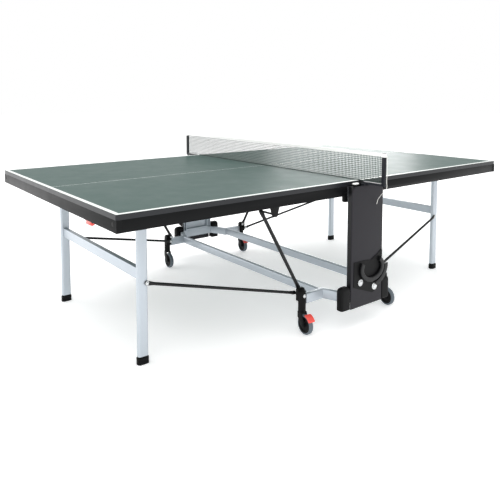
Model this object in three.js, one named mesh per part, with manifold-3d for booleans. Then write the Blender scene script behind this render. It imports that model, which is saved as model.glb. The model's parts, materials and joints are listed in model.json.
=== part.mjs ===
// Folding ping pong table: two half tables on a wheeled chassis, each with its own leg frame, tie rods
// and lifting struts, and a net between two posts.
//
// Millimetres, +Z up. The origin is on the floor under the middle of the net, +X runs along the length
// and +Y across it. The near side is -Y. Each half folds about a pivot that slides down its tower.

import * as THREE from 'three';
import { mergeVertices } from 'three/addons/utils/BufferGeometryUtils.js';
import Module from 'manifold-3d';

const wasm = await Module();
wasm.setup();

// ---- Driving dimensions ------------------------------------------------------------------------

// Playing surface
const TABLE_LENGTH = 2740;
const TABLE_WIDTH = 1525;
const TABLE_HEIGHT = 760;
const BOARD_THICKNESS = 22;
const BOARD_CORNER = 8;
const GAP_BETWEEN_HALVES = 6;

// Apron frame under each board
const APRON_DEPTH = 50;
const RAIL_WIDTH = 25;
const RAIL_WALL = 1.5;
const RAIL_SET_BACK = 13;
const INNER_RAIL_X = 45;

// Fold pivot: where it is at rest, and how far it slides down its tower
const FOLD_X = 106;
const FOLD_BELOW_SURFACE = 88;
const FOLD_DROP = 450;
const FOLD_PIN_RADIUS = 5.5;
const FOLD_BRACKET = { length: 62, height: 46, corner: 9, ahead: -3, above: 11, thickness: 13 };

// Leg frames
const LEG_X = 1120;
const LEG_SPREAD = 952;
const LEG_DEPTH = 50;
const LEG_WIDTH = 27;
const LEG_WALL = 2;
const LEG_CORNER = 9;
const LEG_LUG = { width: 30, below: 16, corner: 6, thickness: 4 };
const LEG_PIVOT_BELOW_SURFACE = 110;
const LEG_PIN_RADIUS = 6;
const LEG_HEAD = 26;
const CROSSBAR_HEIGHT = 408;
const CROSSBAR_DEPTH = 50;
const CROSSBAR_WIDTH = 25;
const FOOT_HEIGHT = 36;
const FOOT_OVERHANG = 3;
const FOOT_CORNER = 12;
const FOOT_STEM_RADIUS = 8;
const FOOT_STEM_REACH = 45;

// Release levers
const LEVER_WIDTH = 48;
const LEVER_PIN_LENGTH = 68;
const LEVER_PIN_RADIUS = 5;

// Chassis
const TUBE_X = 190;
const TUBE_DEPTH = 48;
const TUBE_WIDTH = 25;
const TUBE_WALL = 2;
const TUBE_CORNER = 8;
const CHASSIS_ABOVE_WHEELS = 72;
const CASTER_X = 325;
const CASTER_INSET = 87.5;
const BEAM_KINK_X = 178;
const BEAM_TOWER_X = 132;

// Towers
const TOWER_WIDTH = 236;
const TOWER_DEPTH = 29;
const TOWER_GAP = 23.5;
const TOWER_WEB = 3;
const TOWER_TOP_BELOW_SURFACE = 20;
const CHANNEL_WIDTH = 26;
const SLIDER_WIDTH = 12;
const SLIDER_HEIGHT = 40;
const SLIDER_DEPTH = 20;
const SLIDER_SET_BACK = 1;
const COVER_THICKNESS = 4;
const COVER_BOTTOM = 110;
const COVER_CORNER = 22;
const COVER_FLANGE = 24;

// Casters
const WHEEL_RADIUS = 50;
const WHEEL_WIDTH = 24;
const WHEEL_TRAIL = 28;
const CASTER_TURN = -94;
const AXLE_RADIUS = 4;
const FORK_CHEEK = 4;
const WHEEL_SIDE_GAP = 1.5;
const BRACKET_RADIUS = 20;
const BRACKET_ABOVE_WHEEL = 14;
const EAR_WIDTH = 44;
const EAR_BELOW_CENTRE = 12;
const BRAKE_FROM = 28;
const BRAKE_TO = 76;
const BRAKE_GAP = 3.5;
const BRAKE_THICKNESS = 6;
const BRAKE_ARM = 2.5;

// Struts and tie rods
const STRUT_RADIUS = 9;
const ROD_RADIUS = 7.5;
const STRUT_FOOT_X = 313;
const STRUT_FOOT_ABOVE_CHASSIS = 43;
const STRUT_HEAD_BELOW_SURFACE = 110;
const ROD_FOOT_X = 328;
const ROD_HEAD = { x: 1103, z: 370 };
const LINK_PIN_RADIUS = 5;
const LINK_PLATE = 5;
const LINK_FLAT = 38;
const STRUT_EYE = 12;
const ROD_EYE = 11;
const STRUT_BRACKET = { top: 30, bottom: 14, below: 12, thickness: 5 };
const UNSTRUTTED = 'near_right';

// Net
const NET_HEIGHT = 152.5;
const NET_OVERHANG = 152.5;
const NET_THICKNESS = 1.5;
const POST_WIDTH = 24;
const POST_DEPTH = 14;
const POST_CORNER = 5;
const POST_BELOW_SURFACE = 14;
const POST_ARM = { halfWidth: 9, height: 12 };
const POST_STAND = { halfWidth: 24, depth: 46 };
const CORD_DIAMETER = 3;

// Clearances
const SEAT = 0.3;
const RUNNING = 0.4;

// ---- Worked-out places -------------------------------------------------------------------------

const boardBottom = TABLE_HEIGHT - BOARD_THICKNESS;
const apronTop = boardBottom - SEAT;
const apronBottom = apronTop - APRON_DEPTH;
const halfWidth = TABLE_WIDTH / 2;
const innerEdge = GAP_BETWEEN_HALVES / 2;
const outerEdge = TABLE_LENGTH / 2;
const fold = { x: FOLD_X, z: TABLE_HEIGHT - FOLD_BELOW_SURFACE };
const legPivot = { x: LEG_X, z: TABLE_HEIGHT - LEG_PIVOT_BELOW_SURFACE };
const towerInner = halfWidth + TOWER_GAP;
const towerOuter = towerInner + TOWER_DEPTH;
const towerTop = TABLE_HEIGHT - TOWER_TOP_BELOW_SURFACE;
const towerMiddle = (towerInner + towerOuter) / 2 - 1;
const sliderInner = towerInner + SLIDER_SET_BACK;
const bracketBottom = 2 * WHEEL_RADIUS + BRACKET_ABOVE_WHEEL;
const chassisMiddle = 2 * WHEEL_RADIUS + CHASSIS_ABOVE_WHEELS;
const beamTop = chassisMiddle + TUBE_DEPTH / 2;
const beamBottom = chassisMiddle - TUBE_DEPTH / 2;
const casterY = halfWidth - CASTER_INSET;

// Across the table, the tie rods and the struts run in slabs of their own beside the caster bracket.
const forkInner = WHEEL_WIDTH / 2 + WHEEL_SIDE_GAP;
const forkOuter = forkInner + FORK_CHEEK;
const earInner = casterY - BRACKET_RADIUS - 4;
const strutY = earInner - 12;
const rodFootY = strutY - STRUT_RADIUS - ROD_RADIUS - 2.5;
const legOuter = LEG_SPREAD / 2 + LEG_WIDTH / 2;
const rodHeadY = legOuter + 2 + LINK_PLATE / 2;

const STRUT_FOOT = { x: STRUT_FOOT_X, z: chassisMiddle + STRUT_FOOT_ABOVE_CHASSIS };

/** Where a point of a half table is once that half stands folded. */
function folded(point) {
  return { x: fold.x + fold.z - point.z, z: fold.z - FOLD_DROP + point.x - fold.x };
}

/** The strut's head on the half, at the place that keeps the strut's length the same folded and open. */
function strutHead() {
  const z = TABLE_HEIGHT - STRUT_HEAD_BELOW_SURFACE;
  const top = fold.x + fold.z - z - STRUT_FOOT.x;
  const rise = fold.z - FOLD_DROP - fold.x - STRUT_FOOT.z;
  const x = (STRUT_FOOT.x ** 2 + (z - STRUT_FOOT.z) ** 2 - top ** 2 - rise ** 2)
    / (2 * (STRUT_FOOT.x + rise));
  return { x, z };
}

/** The tie rod's foot on the caster bracket, found in the same way from its head on the upright leg. */
function rodFoot() {
  const pivotFolded = folded(legPivot);
  const head = {
    x: pivotFolded.x + ROD_HEAD.x - legPivot.x,
    z: pivotFolded.z + ROD_HEAD.z - legPivot.z,
  };
  const x = ROD_FOOT_X;
  const z = ((head.x - x) ** 2 - (ROD_HEAD.x - x) ** 2 + head.z ** 2 - ROD_HEAD.z ** 2)
    / (2 * (head.z - ROD_HEAD.z));
  return { x, z };
}

const STRUT_HEAD = strutHead();
const ROD_FOOT = rodFoot();

// ---- Materials ---------------------------------------------------------------------------------

const material = (color, roughness, metalness) =>
  new THREE.MeshStandardMaterial({ color, roughness, metalness });

const playingSurface = material(0x5f7674, 0.5, 0);
const paintedApron = material(0x33363a, 0.45, 0.2);
const silverPaint = material(0xc8d0d6, 0.35, 0.5);
const blackSteel = material(0x1b1d1f, 0.4, 0.4);
const blackPlastic = material(0x16181a, 0.55, 0);
const greyCover = material(0x404046, 0.5, 0.1);
const wheelRubber = material(0x8e979f, 0.7, 0);
const redPlastic = material(0xf05a50, 0.4, 0);
const netMesh = material(0x3c4a46, 0.9, 0);
const postPaint = material(0x191e26, 0.4, 0.2);
const whiteCord = material(0xf2f2ee, 0.8, 0);

// ---- Solids ------------------------------------------------------------------------------------

/** A manifold solid from a closed three.js geometry. */
function solid(geometry) {
  geometry.deleteAttribute('normal');
  geometry.deleteAttribute('uv');
  const merged = mergeVertices(geometry, 1e-4);
  return new wasm.Manifold(new wasm.Mesh({
    numProp: 3,
    vertProperties: new Float32Array(merged.attributes.position.array),
    triVerts: new Uint32Array(merged.index.array),
  }));
}

/** A three.js geometry from a manifold solid. */
function geometryOf(body) {
  const mesh = body.getMesh();
  const geometry = new THREE.BufferGeometry();
  geometry.setAttribute('position', new THREE.BufferAttribute(mesh.vertProperties, 3));
  geometry.setIndex(new THREE.BufferAttribute(mesh.triVerts, 1));
  geometry.computeVertexNormals();
  return geometry;
}

/** A block between two opposite corners. */
function block([x0, y0, z0], [x1, y1, z1]) {
  const size = [x1 - x0, y1 - y0, z1 - z0].map(Math.abs);
  const geometry = new THREE.BoxGeometry(...size);
  return solid(geometry.translate((x0 + x1) / 2, (y0 + y1) / 2, (z0 + z1) / 2));
}

/** A round bar between two points. */
function bar(from, to, radius, sides = 12) {
  const start = new THREE.Vector3(...from);
  const span = new THREE.Vector3(...to).sub(start);
  const geometry = new THREE.CylinderGeometry(radius, radius, span.length(), sides);
  geometry.translate(0, span.length() / 2, 0);
  const turn = new THREE.Quaternion().setFromUnitVectors(new THREE.Vector3(0, 1, 0), span.normalize());
  return solid(geometry.applyQuaternion(turn).translate(start.x, start.y, start.z));
}

/** A flat outline of [a, b] points. */
function outline(points) {
  return new THREE.Shape(points.map(([a, b]) => new THREE.Vector2(a, b)));
}

/** A rectangle with round corners, centred on a point. */
function roundRectangle(width, height, radius, centreA = 0, centreB = 0) {
  const a = width / 2;
  const b = height / 2;
  const shape = new THREE.Shape();
  shape.absarc(centreA + a - radius, centreB + b - radius, radius, 0, Math.PI / 2);
  shape.absarc(centreA - a + radius, centreB + b - radius, radius, Math.PI / 2, Math.PI);
  shape.absarc(centreA - a + radius, centreB - b + radius, radius, Math.PI, 1.5 * Math.PI);
  shape.absarc(centreA + a - radius, centreB - b + radius, radius, 1.5 * Math.PI, 2 * Math.PI);
  return shape;
}

/** An outline in X and Y, extruded up from z0 to z1. */
function extrudeUp(shape, z0, z1, curveSegments = 3) {
  const options = { depth: z1 - z0, bevelEnabled: false, curveSegments };
  return solid(new THREE.ExtrudeGeometry(shape, options).translate(0, 0, z0));
}

/** An outline in X and Z, extruded across from y0 to y1. */
function extrudeAcross(shape, y0, y1, curveSegments = 3) {
  const [low, high] = [Math.min(y0, y1), Math.max(y0, y1)];
  const options = { depth: high - low, bevelEnabled: false, curveSegments };
  return solid(new THREE.ExtrudeGeometry(shape, options).rotateX(Math.PI / 2).translate(0, high, 0));
}

/** A rectangular tube along X or Y between two opposite corners, open at both ends. */
function boxTube(from, to, wall, along) {
  const low = from.map((v, i) => Math.min(v, to[i]));
  const high = from.map((v, i) => Math.max(v, to[i]));
  const inside = [0, 1, 2].map((i) => (i === along ? -1 : wall));
  const bore = block(low.map((v, i) => v + inside[i]), high.map((v, i) => v - inside[i]));
  return block(low, high).subtract(bore);
}

/** A group that holds named meshes. */
class Assembly extends THREE.Group {
  /** Adds one named mesh, made from a solid, at an optional place and turn about Z. */
  part(name, body, finish, place = [0, 0, 0], turn = 0) {
    const mesh = new THREE.Mesh(geometryOf(body), finish);
    mesh.name = name;
    mesh.position.set(...place);
    mesh.rotation.z = turn;
    this.add(mesh);
    return mesh;
  }
}

// ---- Half table --------------------------------------------------------------------------------

/** The board: a flat panel with slightly round corners. */
function board() {
  const length = outerEdge - innerEdge;
  const shape = roundRectangle(length, TABLE_WIDTH, BOARD_CORNER, (innerEdge + outerEdge) / 2, 0);
  return extrudeUp(shape, boardBottom, TABLE_HEIGHT);
}

/**
 * A side rail with the fold bracket on its outside and any strut bracket on its inside. It starts a little
 * behind the board's inner edge, to leave the other half's board room to swing down past it.
 */
function sideRail(side, strutted) {
  const outer = halfWidth;
  const inner = halfWidth - RAIL_WIDTH;
  const rail = boxTube(
    [innerEdge + RAIL_SET_BACK, side * inner, apronBottom],
    [outerEdge - RAIL_WIDTH - SEAT, side * outer, apronTop],
    RAIL_WALL, 0,
  );
  const plate = FOLD_BRACKET;
  const bracket = extrudeAcross(
    roundRectangle(plate.length, plate.height, plate.corner, fold.x + plate.ahead, fold.z + plate.above),
    side * (outer - RAIL_WALL / 2), side * (outer + plate.thickness),
  );
  const bore = bar(
    [fold.x, side * (inner - RAIL_WIDTH), fold.z], [fold.x, side * (outer + RAIL_WIDTH), fold.z],
    FOLD_PIN_RADIUS + RUNNING, 20,
  );
  const plain = rail.add(bracket).subtract(bore);
  if (!strutted) return plain;
  const { top, bottom, below, thickness } = STRUT_BRACKET;
  const drop = extrudeAcross(
    outline([
      [STRUT_HEAD.x - top, apronBottom + RAIL_WALL], [STRUT_HEAD.x - bottom, STRUT_HEAD.z - below],
      [STRUT_HEAD.x + bottom, STRUT_HEAD.z - below], [STRUT_HEAD.x + top, apronBottom + RAIL_WALL],
    ]),
    side * (inner + 1), side * (inner + 1 + thickness),
  );
  const pin = bar([STRUT_HEAD.x, side * (inner + thickness / 2), STRUT_HEAD.z],
    [STRUT_HEAD.x, side * (strutY - LINK_PLATE - 2), STRUT_HEAD.z], LINK_PIN_RADIUS);
  return plain.add(drop).add(pin);
}

/** The rail across the outer end of the half. */
function endRail() {
  return boxTube([outerEdge - RAIL_WIDTH, -halfWidth, apronBottom], [outerEdge, halfWidth, apronTop],
    RAIL_WALL, 1);
}

/** A rail across the half, between its side rails. */
function crossRail(x0, x1) {
  const reach = halfWidth - RAIL_WIDTH - SEAT;
  return boxTube([x0, -reach, apronBottom], [x1, reach, apronTop], RAIL_WALL, 1);
}

/** The rail that the legs hinge on, with two lugs and a pin for each leg. */
function legRail() {
  let rail = crossRail(LEG_X - LEG_DEPTH / 2, LEG_X + LEG_DEPTH / 2);
  const reach = LEG_WIDTH / 2 + RUNNING;
  const pinReach = reach + LEG_LUG.thickness / 2;
  const top = apronBottom + RAIL_WALL / 2;
  const bottom = legPivot.z - LEG_LUG.below;
  const lug = roundRectangle(LEG_LUG.width, top - bottom, LEG_LUG.corner, legPivot.x, (top + bottom) / 2);
  for (const middle of [-LEG_SPREAD / 2, LEG_SPREAD / 2]) {
    for (const face of [-1, 1]) {
      const start = middle + face * reach;
      rail = rail.add(extrudeAcross(lug, start, start + face * LEG_LUG.thickness));
    }
    rail = rail.add(bar([legPivot.x, middle - pinReach, legPivot.z],
      [legPivot.x, middle + pinReach, legPivot.z], LEG_PIN_RADIUS, 16));
  }
  return rail;
}

/** One leg: a round-cornered tube with its hinge bore and the stud that the tie rod turns on. */
function leg(side) {
  const middle = side * LEG_SPREAD / 2;
  const bottom = FOOT_HEIGHT + SEAT;
  const top = legPivot.z + LEG_HEAD;
  const tube = (inset) => roundRectangle(
    LEG_DEPTH - 2 * inset, LEG_WIDTH - 2 * inset, LEG_CORNER - inset, LEG_X, middle,
  );
  const bore = bar(
    [legPivot.x, middle - LEG_WIDTH, legPivot.z], [legPivot.x, middle + LEG_WIDTH, legPivot.z],
    LEG_PIN_RADIUS + RUNNING, 16,
  );
  const stud = bar([ROD_HEAD.x, side * (legOuter - LEG_WALL / 2), ROD_HEAD.z],
    [ROD_HEAD.x, side * (rodHeadY + LINK_PLATE), ROD_HEAD.z], LINK_PIN_RADIUS);
  return extrudeUp(tube(0), bottom, top)
    .subtract(extrudeUp(tube(LEG_WALL), bottom - 1, top + 1))
    .subtract(bore)
    .add(stud);
}

/** The bar that joins the two legs of a half. */
function crossbar() {
  const reach = LEG_SPREAD / 2 - LEG_WIDTH / 2 - SEAT;
  const [x, z] = [CROSSBAR_WIDTH / 2, CROSSBAR_DEPTH / 2];
  return boxTube([LEG_X - x, -reach, CROSSBAR_HEIGHT - z], [LEG_X + x, reach, CROSSBAR_HEIGHT + z],
    RAIL_WALL, 1);
}

/** A levelling foot: a pad with a collar, and the stem that screws up inside the leg. */
function foot(side) {
  const middle = side * LEG_SPREAD / 2;
  const collar = roundRectangle(
    LEG_DEPTH + 2 * FOOT_OVERHANG, LEG_WIDTH + 2 * FOOT_OVERHANG, FOOT_CORNER, LEG_X, middle,
  );
  const stem = bar([LEG_X, middle, FOOT_HEIGHT - 2], [LEG_X, middle, FOOT_HEIGHT + FOOT_STEM_REACH],
    FOOT_STEM_RADIUS);
  return extrudeUp(collar, 0, FOOT_HEIGHT).add(stem);
}

/**
 * A bar with a flattened eye at each end. The eyes may lie in different slabs across the table, and the
 * bar's head end may lie further out than its eye by a lean.
 */
function link(foot, footY, head, headY, radius, eye, lean = 0) {
  const along = new THREE.Vector2(head.x - foot.x, head.z - foot.z).normalize();
  const lap = LINK_FLAT - 8;
  const holes = [];
  let body = bar(
    [foot.x + along.x * lap, footY, foot.z + along.y * lap],
    [head.x - along.x * lap, headY + lean, head.z - along.y * lap],
    radius, 12,
  );
  for (const [end, y, sign] of [[foot, footY, 1], [head, headY, -1]]) {
    const tip = new THREE.Vector2(end.x, end.z).addScaledVector(along, sign * LINK_FLAT);
    const half = new THREE.Vector2(-along.y, along.x).multiplyScalar(eye * 0.8);
    const tab = outline([
      [end.x + half.x, end.z + half.y], [end.x - half.x, end.z - half.y],
      [tip.x - half.x, tip.y - half.y], [tip.x + half.x, tip.y + half.y],
    ]);
    body = body.add(extrudeAcross(tab, y - LINK_PLATE / 2, y + LINK_PLATE / 2));
    body = body.add(bar([end.x, y - LINK_PLATE / 2, end.z], [end.x, y + LINK_PLATE / 2, end.z], eye, 16));
    holes.push(bar([end.x, y - LINK_PLATE, end.z], [end.x, y + LINK_PLATE, end.z],
      LINK_PIN_RADIUS + RUNNING));
  }
  return holes.reduce((rest, hole) => rest.subtract(hole), body);
}

/** The block that slides in the tower, with the pin that carries the fold bracket. */
function slider(side) {
  const [x, z] = [SLIDER_WIDTH / 2, SLIDER_HEIGHT / 2];
  const pin = bar([fold.x, side * (halfWidth + 2), fold.z], [fold.x, side * (sliderInner + 4), fold.z],
    FOLD_PIN_RADIUS, 20);
  return block(
    [fold.x - x, side * sliderInner, fold.z - z],
    [fold.x + x, side * (sliderInner + SLIDER_DEPTH), fold.z + z],
  ).add(pin);
}

/** The red lever that hangs under the end rail, in line with a leg, and frees the fold lock. */
function releaseLever() {
  const pivot = {
    x: outerEdge - RAIL_WIDTH / 2, y: LEG_SPREAD / 2, z: apronBottom - SEAT - LEVER_PIN_RADIUS,
  };
  const reach = LEVER_PIN_LENGTH / 2;
  const handle = outline([[-24, 1.5], [2, 1.5], [6, -14], [-6, -18], [-24, -5]]
    .map(([x, z]) => [pivot.x + x, pivot.z + z]));
  const pin = bar([pivot.x, pivot.y - reach, pivot.z], [pivot.x, pivot.y + reach, pivot.z], LEVER_PIN_RADIUS);
  return extrudeAcross(handle, pivot.y - LEVER_WIDTH / 2, pivot.y + LEVER_WIDTH / 2).add(pin);
}

/** Everything on one half, modelled as the right half. */
function halfTable(name) {
  const half = new Assembly();
  const nearSide = name === 'right' ? -1 : 1;
  half.rotation.z = name === 'right' ? 0 : Math.PI;
  half.part(`${name}_board`, board(), playingSurface);
  half.part(`${name}_end_rail`, endRail(), paintedApron);
  half.part(`${name}_inner_rail`, crossRail(INNER_RAIL_X, INNER_RAIL_X + RAIL_WIDTH), paintedApron);
  half.part(`${name}_leg_rail`, legRail(), paintedApron);
  half.part(`${name}_leg_crossbar`, crossbar(), silverPaint);
  half.part(`${name}_release_lever`, releaseLever(), redPlastic);
  for (const side of [-1, 1]) {
    const which = `${side === nearSide ? 'near' : 'far'}_${name}`;
    const strutted = which !== UNSTRUTTED;
    half.part(`${which}_side_rail`, sideRail(side, strutted), paintedApron);
    half.part(`${which}_leg`, leg(side), silverPaint);
    half.part(`${which}_foot`, foot(side), blackPlastic);
    half.part(`${which}_slider`, slider(side), blackSteel);
    if (strutted) {
      const strut = link(STRUT_FOOT, side * strutY, STRUT_HEAD, side * strutY, STRUT_RADIUS, STRUT_EYE);
      half.part(`${which}_strut`, strut, blackSteel);
    }
    const lean = side * (ROD_RADIUS - LINK_PLATE / 2);
    const tieRod = link(ROD_FOOT, side * rodFootY, ROD_HEAD, side * rodHeadY, ROD_RADIUS, ROD_EYE, lean);
    half.part(`${which}_tie_rod`, tieRod, blackSteel);
  }
  return half;
}

// ---- Chassis -----------------------------------------------------------------------------------

/** A long tube across the table, from one side beam to the other. */
function longTube() {
  const reach = casterY - TUBE_WIDTH / 2 - SEAT;
  const tube = (inset) => extrudeAcross(
    roundRectangle(TUBE_WIDTH - 2 * inset, TUBE_DEPTH - 2 * inset, TUBE_CORNER - inset, 0, chassisMiddle),
    -reach - inset, reach + inset,
  );
  return tube(0).subtract(tube(TUBE_WALL));
}

/** The plan of a beam that steps out from the casters to the tower, as a band of a given half width. */
function beamPlan(side, half, ends) {
  const path = [
    [-ends, casterY], [-BEAM_KINK_X, casterY], [-BEAM_TOWER_X, towerMiddle],
    [BEAM_TOWER_X, towerMiddle], [BEAM_KINK_X, casterY], [ends, casterY],
  ];
  const slope = Math.atan2(towerMiddle - casterY, BEAM_KINK_X - BEAM_TOWER_X);
  const shift = half * Math.tan(slope / 2);
  const edge = (sign) => path.map(([x, y], i) => {
    const kinked = i > 0 && i < path.length - 1;
    return [x + (kinked ? Math.sign(x) * shift * sign : 0), side * (y + sign * half)];
  });
  return outline([...edge(1), ...edge(-1).reverse()]);
}

/** The side of the chassis: the stepped beam, and the two guide channels that stand on it. */
function chassisSide(side) {
  const ends = CASTER_X - BRACKET_RADIUS - SEAT;
  const hollow = beamPlan(side, TUBE_WIDTH / 2 - TUBE_WALL, ends + 5);
  const beam = extrudeUp(beamPlan(side, TUBE_WIDTH / 2, ends), beamBottom, beamTop)
    .subtract(extrudeUp(hollow, beamBottom + TUBE_WALL, beamTop - TUBE_WALL));
  const outer = TOWER_WIDTH / 2;
  const inner = outer - CHANNEL_WIDTH;
  const slot = SLIDER_WIDTH / 2 + RUNNING;
  const slotFloor = sliderInner + SLIDER_DEPTH + SLIDER_SET_BACK;
  const capThickness = 3;
  const span = (x0, x1, y0, y1, z0, z1) => block([x0, side * y0, z0], [x1, side * y1, z1]);
  let channels = span(-outer, outer, towerInner, towerOuter, beamTop - 6, towerTop)
    .subtract(span(-inner, inner, towerInner - 1, towerOuter - TOWER_WEB, beamTop + 12, towerTop + 1));
  for (const x of [-fold.x, fold.x]) {
    channels = channels
      .subtract(span(x - slot, x + slot, towerInner - 1, slotFloor, beamTop, towerTop - capThickness));
  }
  return beam.add(channels);
}

/** The cover over a tower: a plate with a rounded top, wrapped round its outer side. */
function towerCover(side) {
  const width = TOWER_WIDTH / 2 + SEAT;
  const face = towerOuter + SEAT;
  const skin = COVER_THICKNESS;
  const top = towerTop + 2;
  const front = new THREE.Shape();
  front.moveTo(-width - skin, COVER_BOTTOM);
  front.lineTo(width + skin, COVER_BOTTOM);
  const cornerX = width + skin - COVER_CORNER;
  const cornerZ = top - COVER_CORNER;
  front.lineTo(width + skin, cornerZ);
  front.absarc(cornerX, cornerZ, COVER_CORNER, 0, Math.PI / 2);
  front.absarc(-cornerX, cornerZ, COVER_CORNER, Math.PI / 2, Math.PI);
  const plate = extrudeAcross(front, side * face, side * (face + skin), 6);
  const flange = (x0, x1) => block(
    [x0, side * (face - COVER_FLANGE), beamTop + 6], [x1, side * (face + 1), cornerZ],
  );
  return plate.add(flange(-width - skin, -width)).add(flange(width, width + skin));
}

/** A caster bracket: a round housing, an ear for the tie rod and any strut, and their pins. */
function casterBracket(side, strutted) {
  const top = STRUT_FOOT.z + 8;
  const y = side * casterY;
  const housing = bar([CASTER_X, y, bracketBottom], [CASTER_X, y, top - 8], BRACKET_RADIUS, 20)
    .add(bar([CASTER_X, y, top - 9], [CASTER_X, y, top], BRACKET_RADIUS - 5, 20));
  const [earTop, earBottom] = [top + 4, chassisMiddle - EAR_BELOW_CENTRE];
  const ear = extrudeAcross(
    roundRectangle(EAR_WIDTH, earTop - earBottom, 8, CASTER_X - 2, (earTop + earBottom) / 2),
    side * earInner, side * (casterY - 6),
  );
  const beamEnd = block(
    [CASTER_X - 3 * BRACKET_RADIUS, side * (earInner - 1), beamBottom - 1],
    [CASTER_X - BRACKET_RADIUS, side * (casterY + TUBE_WIDTH), beamTop + SEAT],
  );
  const pin = (place, depth) => bar(
    [place.x, side * (earInner + 3), place.z], [place.x, side * depth, place.z], LINK_PIN_RADIUS,
  );
  const bracket = housing.add(ear.subtract(beamEnd)).add(pin(ROD_FOOT, rodFootY - LINK_PLATE - 1));
  return strutted ? bracket.add(pin(STRUT_FOOT, strutY - LINK_PLATE - 1)) : bracket;
}

/** The fork that swivels under a bracket and trails its wheel along +X. */
function casterFork() {
  const crown = bracketBottom - SEAT;
  const crownBottom = crown - 9;
  const bridgeEnd = WHEEL_TRAIL * 0.6;
  const front = bar([0, 0, crownBottom], [0, 0, crown], forkOuter, 16);
  const bridge = block([0, -forkOuter, crownBottom], [bridgeEnd, forkOuter, crown - 3]);
  const cheek = outline([
    [-forkInner, crown - 2], [-forkInner, crown - 32], [WHEEL_TRAIL - 16, WHEEL_RADIUS - 6],
    [WHEEL_TRAIL - 6, WHEEL_RADIUS - 14], [WHEEL_TRAIL + 8, WHEEL_RADIUS - 12],
    [WHEEL_TRAIL + 13, WHEEL_RADIUS + 2], [bridgeEnd, crown - 3],
  ]);
  let fork = front.add(bridge);
  for (const face of [-1, 1]) fork = fork.add(extrudeAcross(cheek, face * forkInner, face * forkOuter));
  const axleEnd = forkOuter + RUNNING + BRAKE_ARM + 0.5;
  return fork.add(
    bar([WHEEL_TRAIL, -axleEnd, WHEEL_RADIUS], [WHEEL_TRAIL, axleEnd, WHEEL_RADIUS], AXLE_RADIUS),
  );
}

/** A wheel with a crowned tread, on the fork's axle. */
function casterWheel() {
  const half = WHEEL_WIDTH / 2;
  const bore = AXLE_RADIUS + RUNNING;
  const [hub, shoulder, tread] = [WHEEL_RADIUS - 14, WHEEL_RADIUS - 3, WHEEL_RADIUS];
  const profile = [
    [bore, -half], [hub, -half], [shoulder, -half + 2], [tread, -half + 6],
    [tread, half - 6], [shoulder, half - 2], [hub, half], [bore, half],
    [bore, -half],
  ].map(([r, y]) => new THREE.Vector2(r, y));
  return solid(new THREE.LatheGeometry(profile, 24).translate(WHEEL_TRAIL, 0, WHEEL_RADIUS));
}

/** The brake pedal: a tab that follows the tread, on two arms that turn about the axle's ends. */
function brakeTab() {
  const inner = WHEEL_RADIUS + BRAKE_GAP;
  const armInner = forkOuter + RUNNING;
  const armOuter = armInner + BRAKE_ARM;
  const middle = (BRAKE_FROM + BRAKE_TO) / 2;
  const band = (y0, y1, from, to, low, high) => {
    const [start, end] = [from, to].map(THREE.MathUtils.degToRad);
    const shape = new THREE.Shape();
    shape.absarc(WHEEL_TRAIL, WHEEL_RADIUS, high, start, end);
    shape.absarc(WHEEL_TRAIL, WHEEL_RADIUS, low, end, start, true);
    return extrudeAcross(shape, y0, y1, 6);
  };
  const onAxle = (y0, y1, radius) => bar(
    [WHEEL_TRAIL, y0, WHEEL_RADIUS], [WHEEL_TRAIL, y1, WHEEL_RADIUS], radius, 16,
  );
  let tab = band(-armOuter, armOuter, BRAKE_FROM, BRAKE_TO, inner, inner + BRAKE_THICKNESS);
  for (const face of [-1, 1]) {
    tab = tab
      .add(band(face * armInner, face * armOuter, middle - 5, middle + 5, AXLE_RADIUS + 2, inner + 2))
      .add(onAxle(face * armInner, face * armOuter, AXLE_RADIUS + 5));
  }
  return tab.subtract(onAxle(-armOuter - 1, armOuter + 1, AXLE_RADIUS + RUNNING));
}

/** One caster: its bracket is fixed, and the rest swivels about its stem. */
function caster(chassis, name, x, side, braked) {
  const mirror = x < 0;
  const shape = casterBracket(mirror ? -side : side, name !== UNSTRUTTED);
  const bracket = chassis.part(`${name}_caster_bracket`, shape, blackPlastic);
  bracket.rotation.z = mirror ? Math.PI : 0;
  const place = [x, side * casterY, 0];
  const turn = THREE.MathUtils.degToRad(CASTER_TURN);
  chassis.part(`${name}_caster_fork`, casterFork(), blackPlastic, place, turn);
  chassis.part(`${name}_caster_wheel`, casterWheel(), wheelRubber, place, turn);
  if (braked) chassis.part(`${name}_brake_tab`, brakeTab(), redPlastic, place, turn);
}

/** The chassis with its tubes, towers and casters. */
function chassisAssembly() {
  const chassis = new Assembly();
  for (const [name, x] of [['left', -1], ['right', 1]]) {
    chassis.part(`${name}_long_tube`, longTube(), silverPaint, [x * TUBE_X, 0, 0]);
    for (const [where, side] of [['near', -1], ['far', 1]]) {
      const braked = (where === 'near') === (name === 'left');
      caster(chassis, `${where}_${name}`, x * CASTER_X, side, braked);
    }
  }
  for (const [where, side] of [['near', -1], ['far', 1]]) {
    chassis.part(`${where}_chassis_side`, chassisSide(side), silverPaint);
    chassis.part(`${where}_tower_cover`, towerCover(side), greyCover);
  }
  return chassis;
}

// ---- Net ---------------------------------------------------------------------------------------

const postInner = halfWidth + NET_OVERHANG - POST_WIDTH / 2;
const postOuter = postInner + POST_WIDTH;

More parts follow.
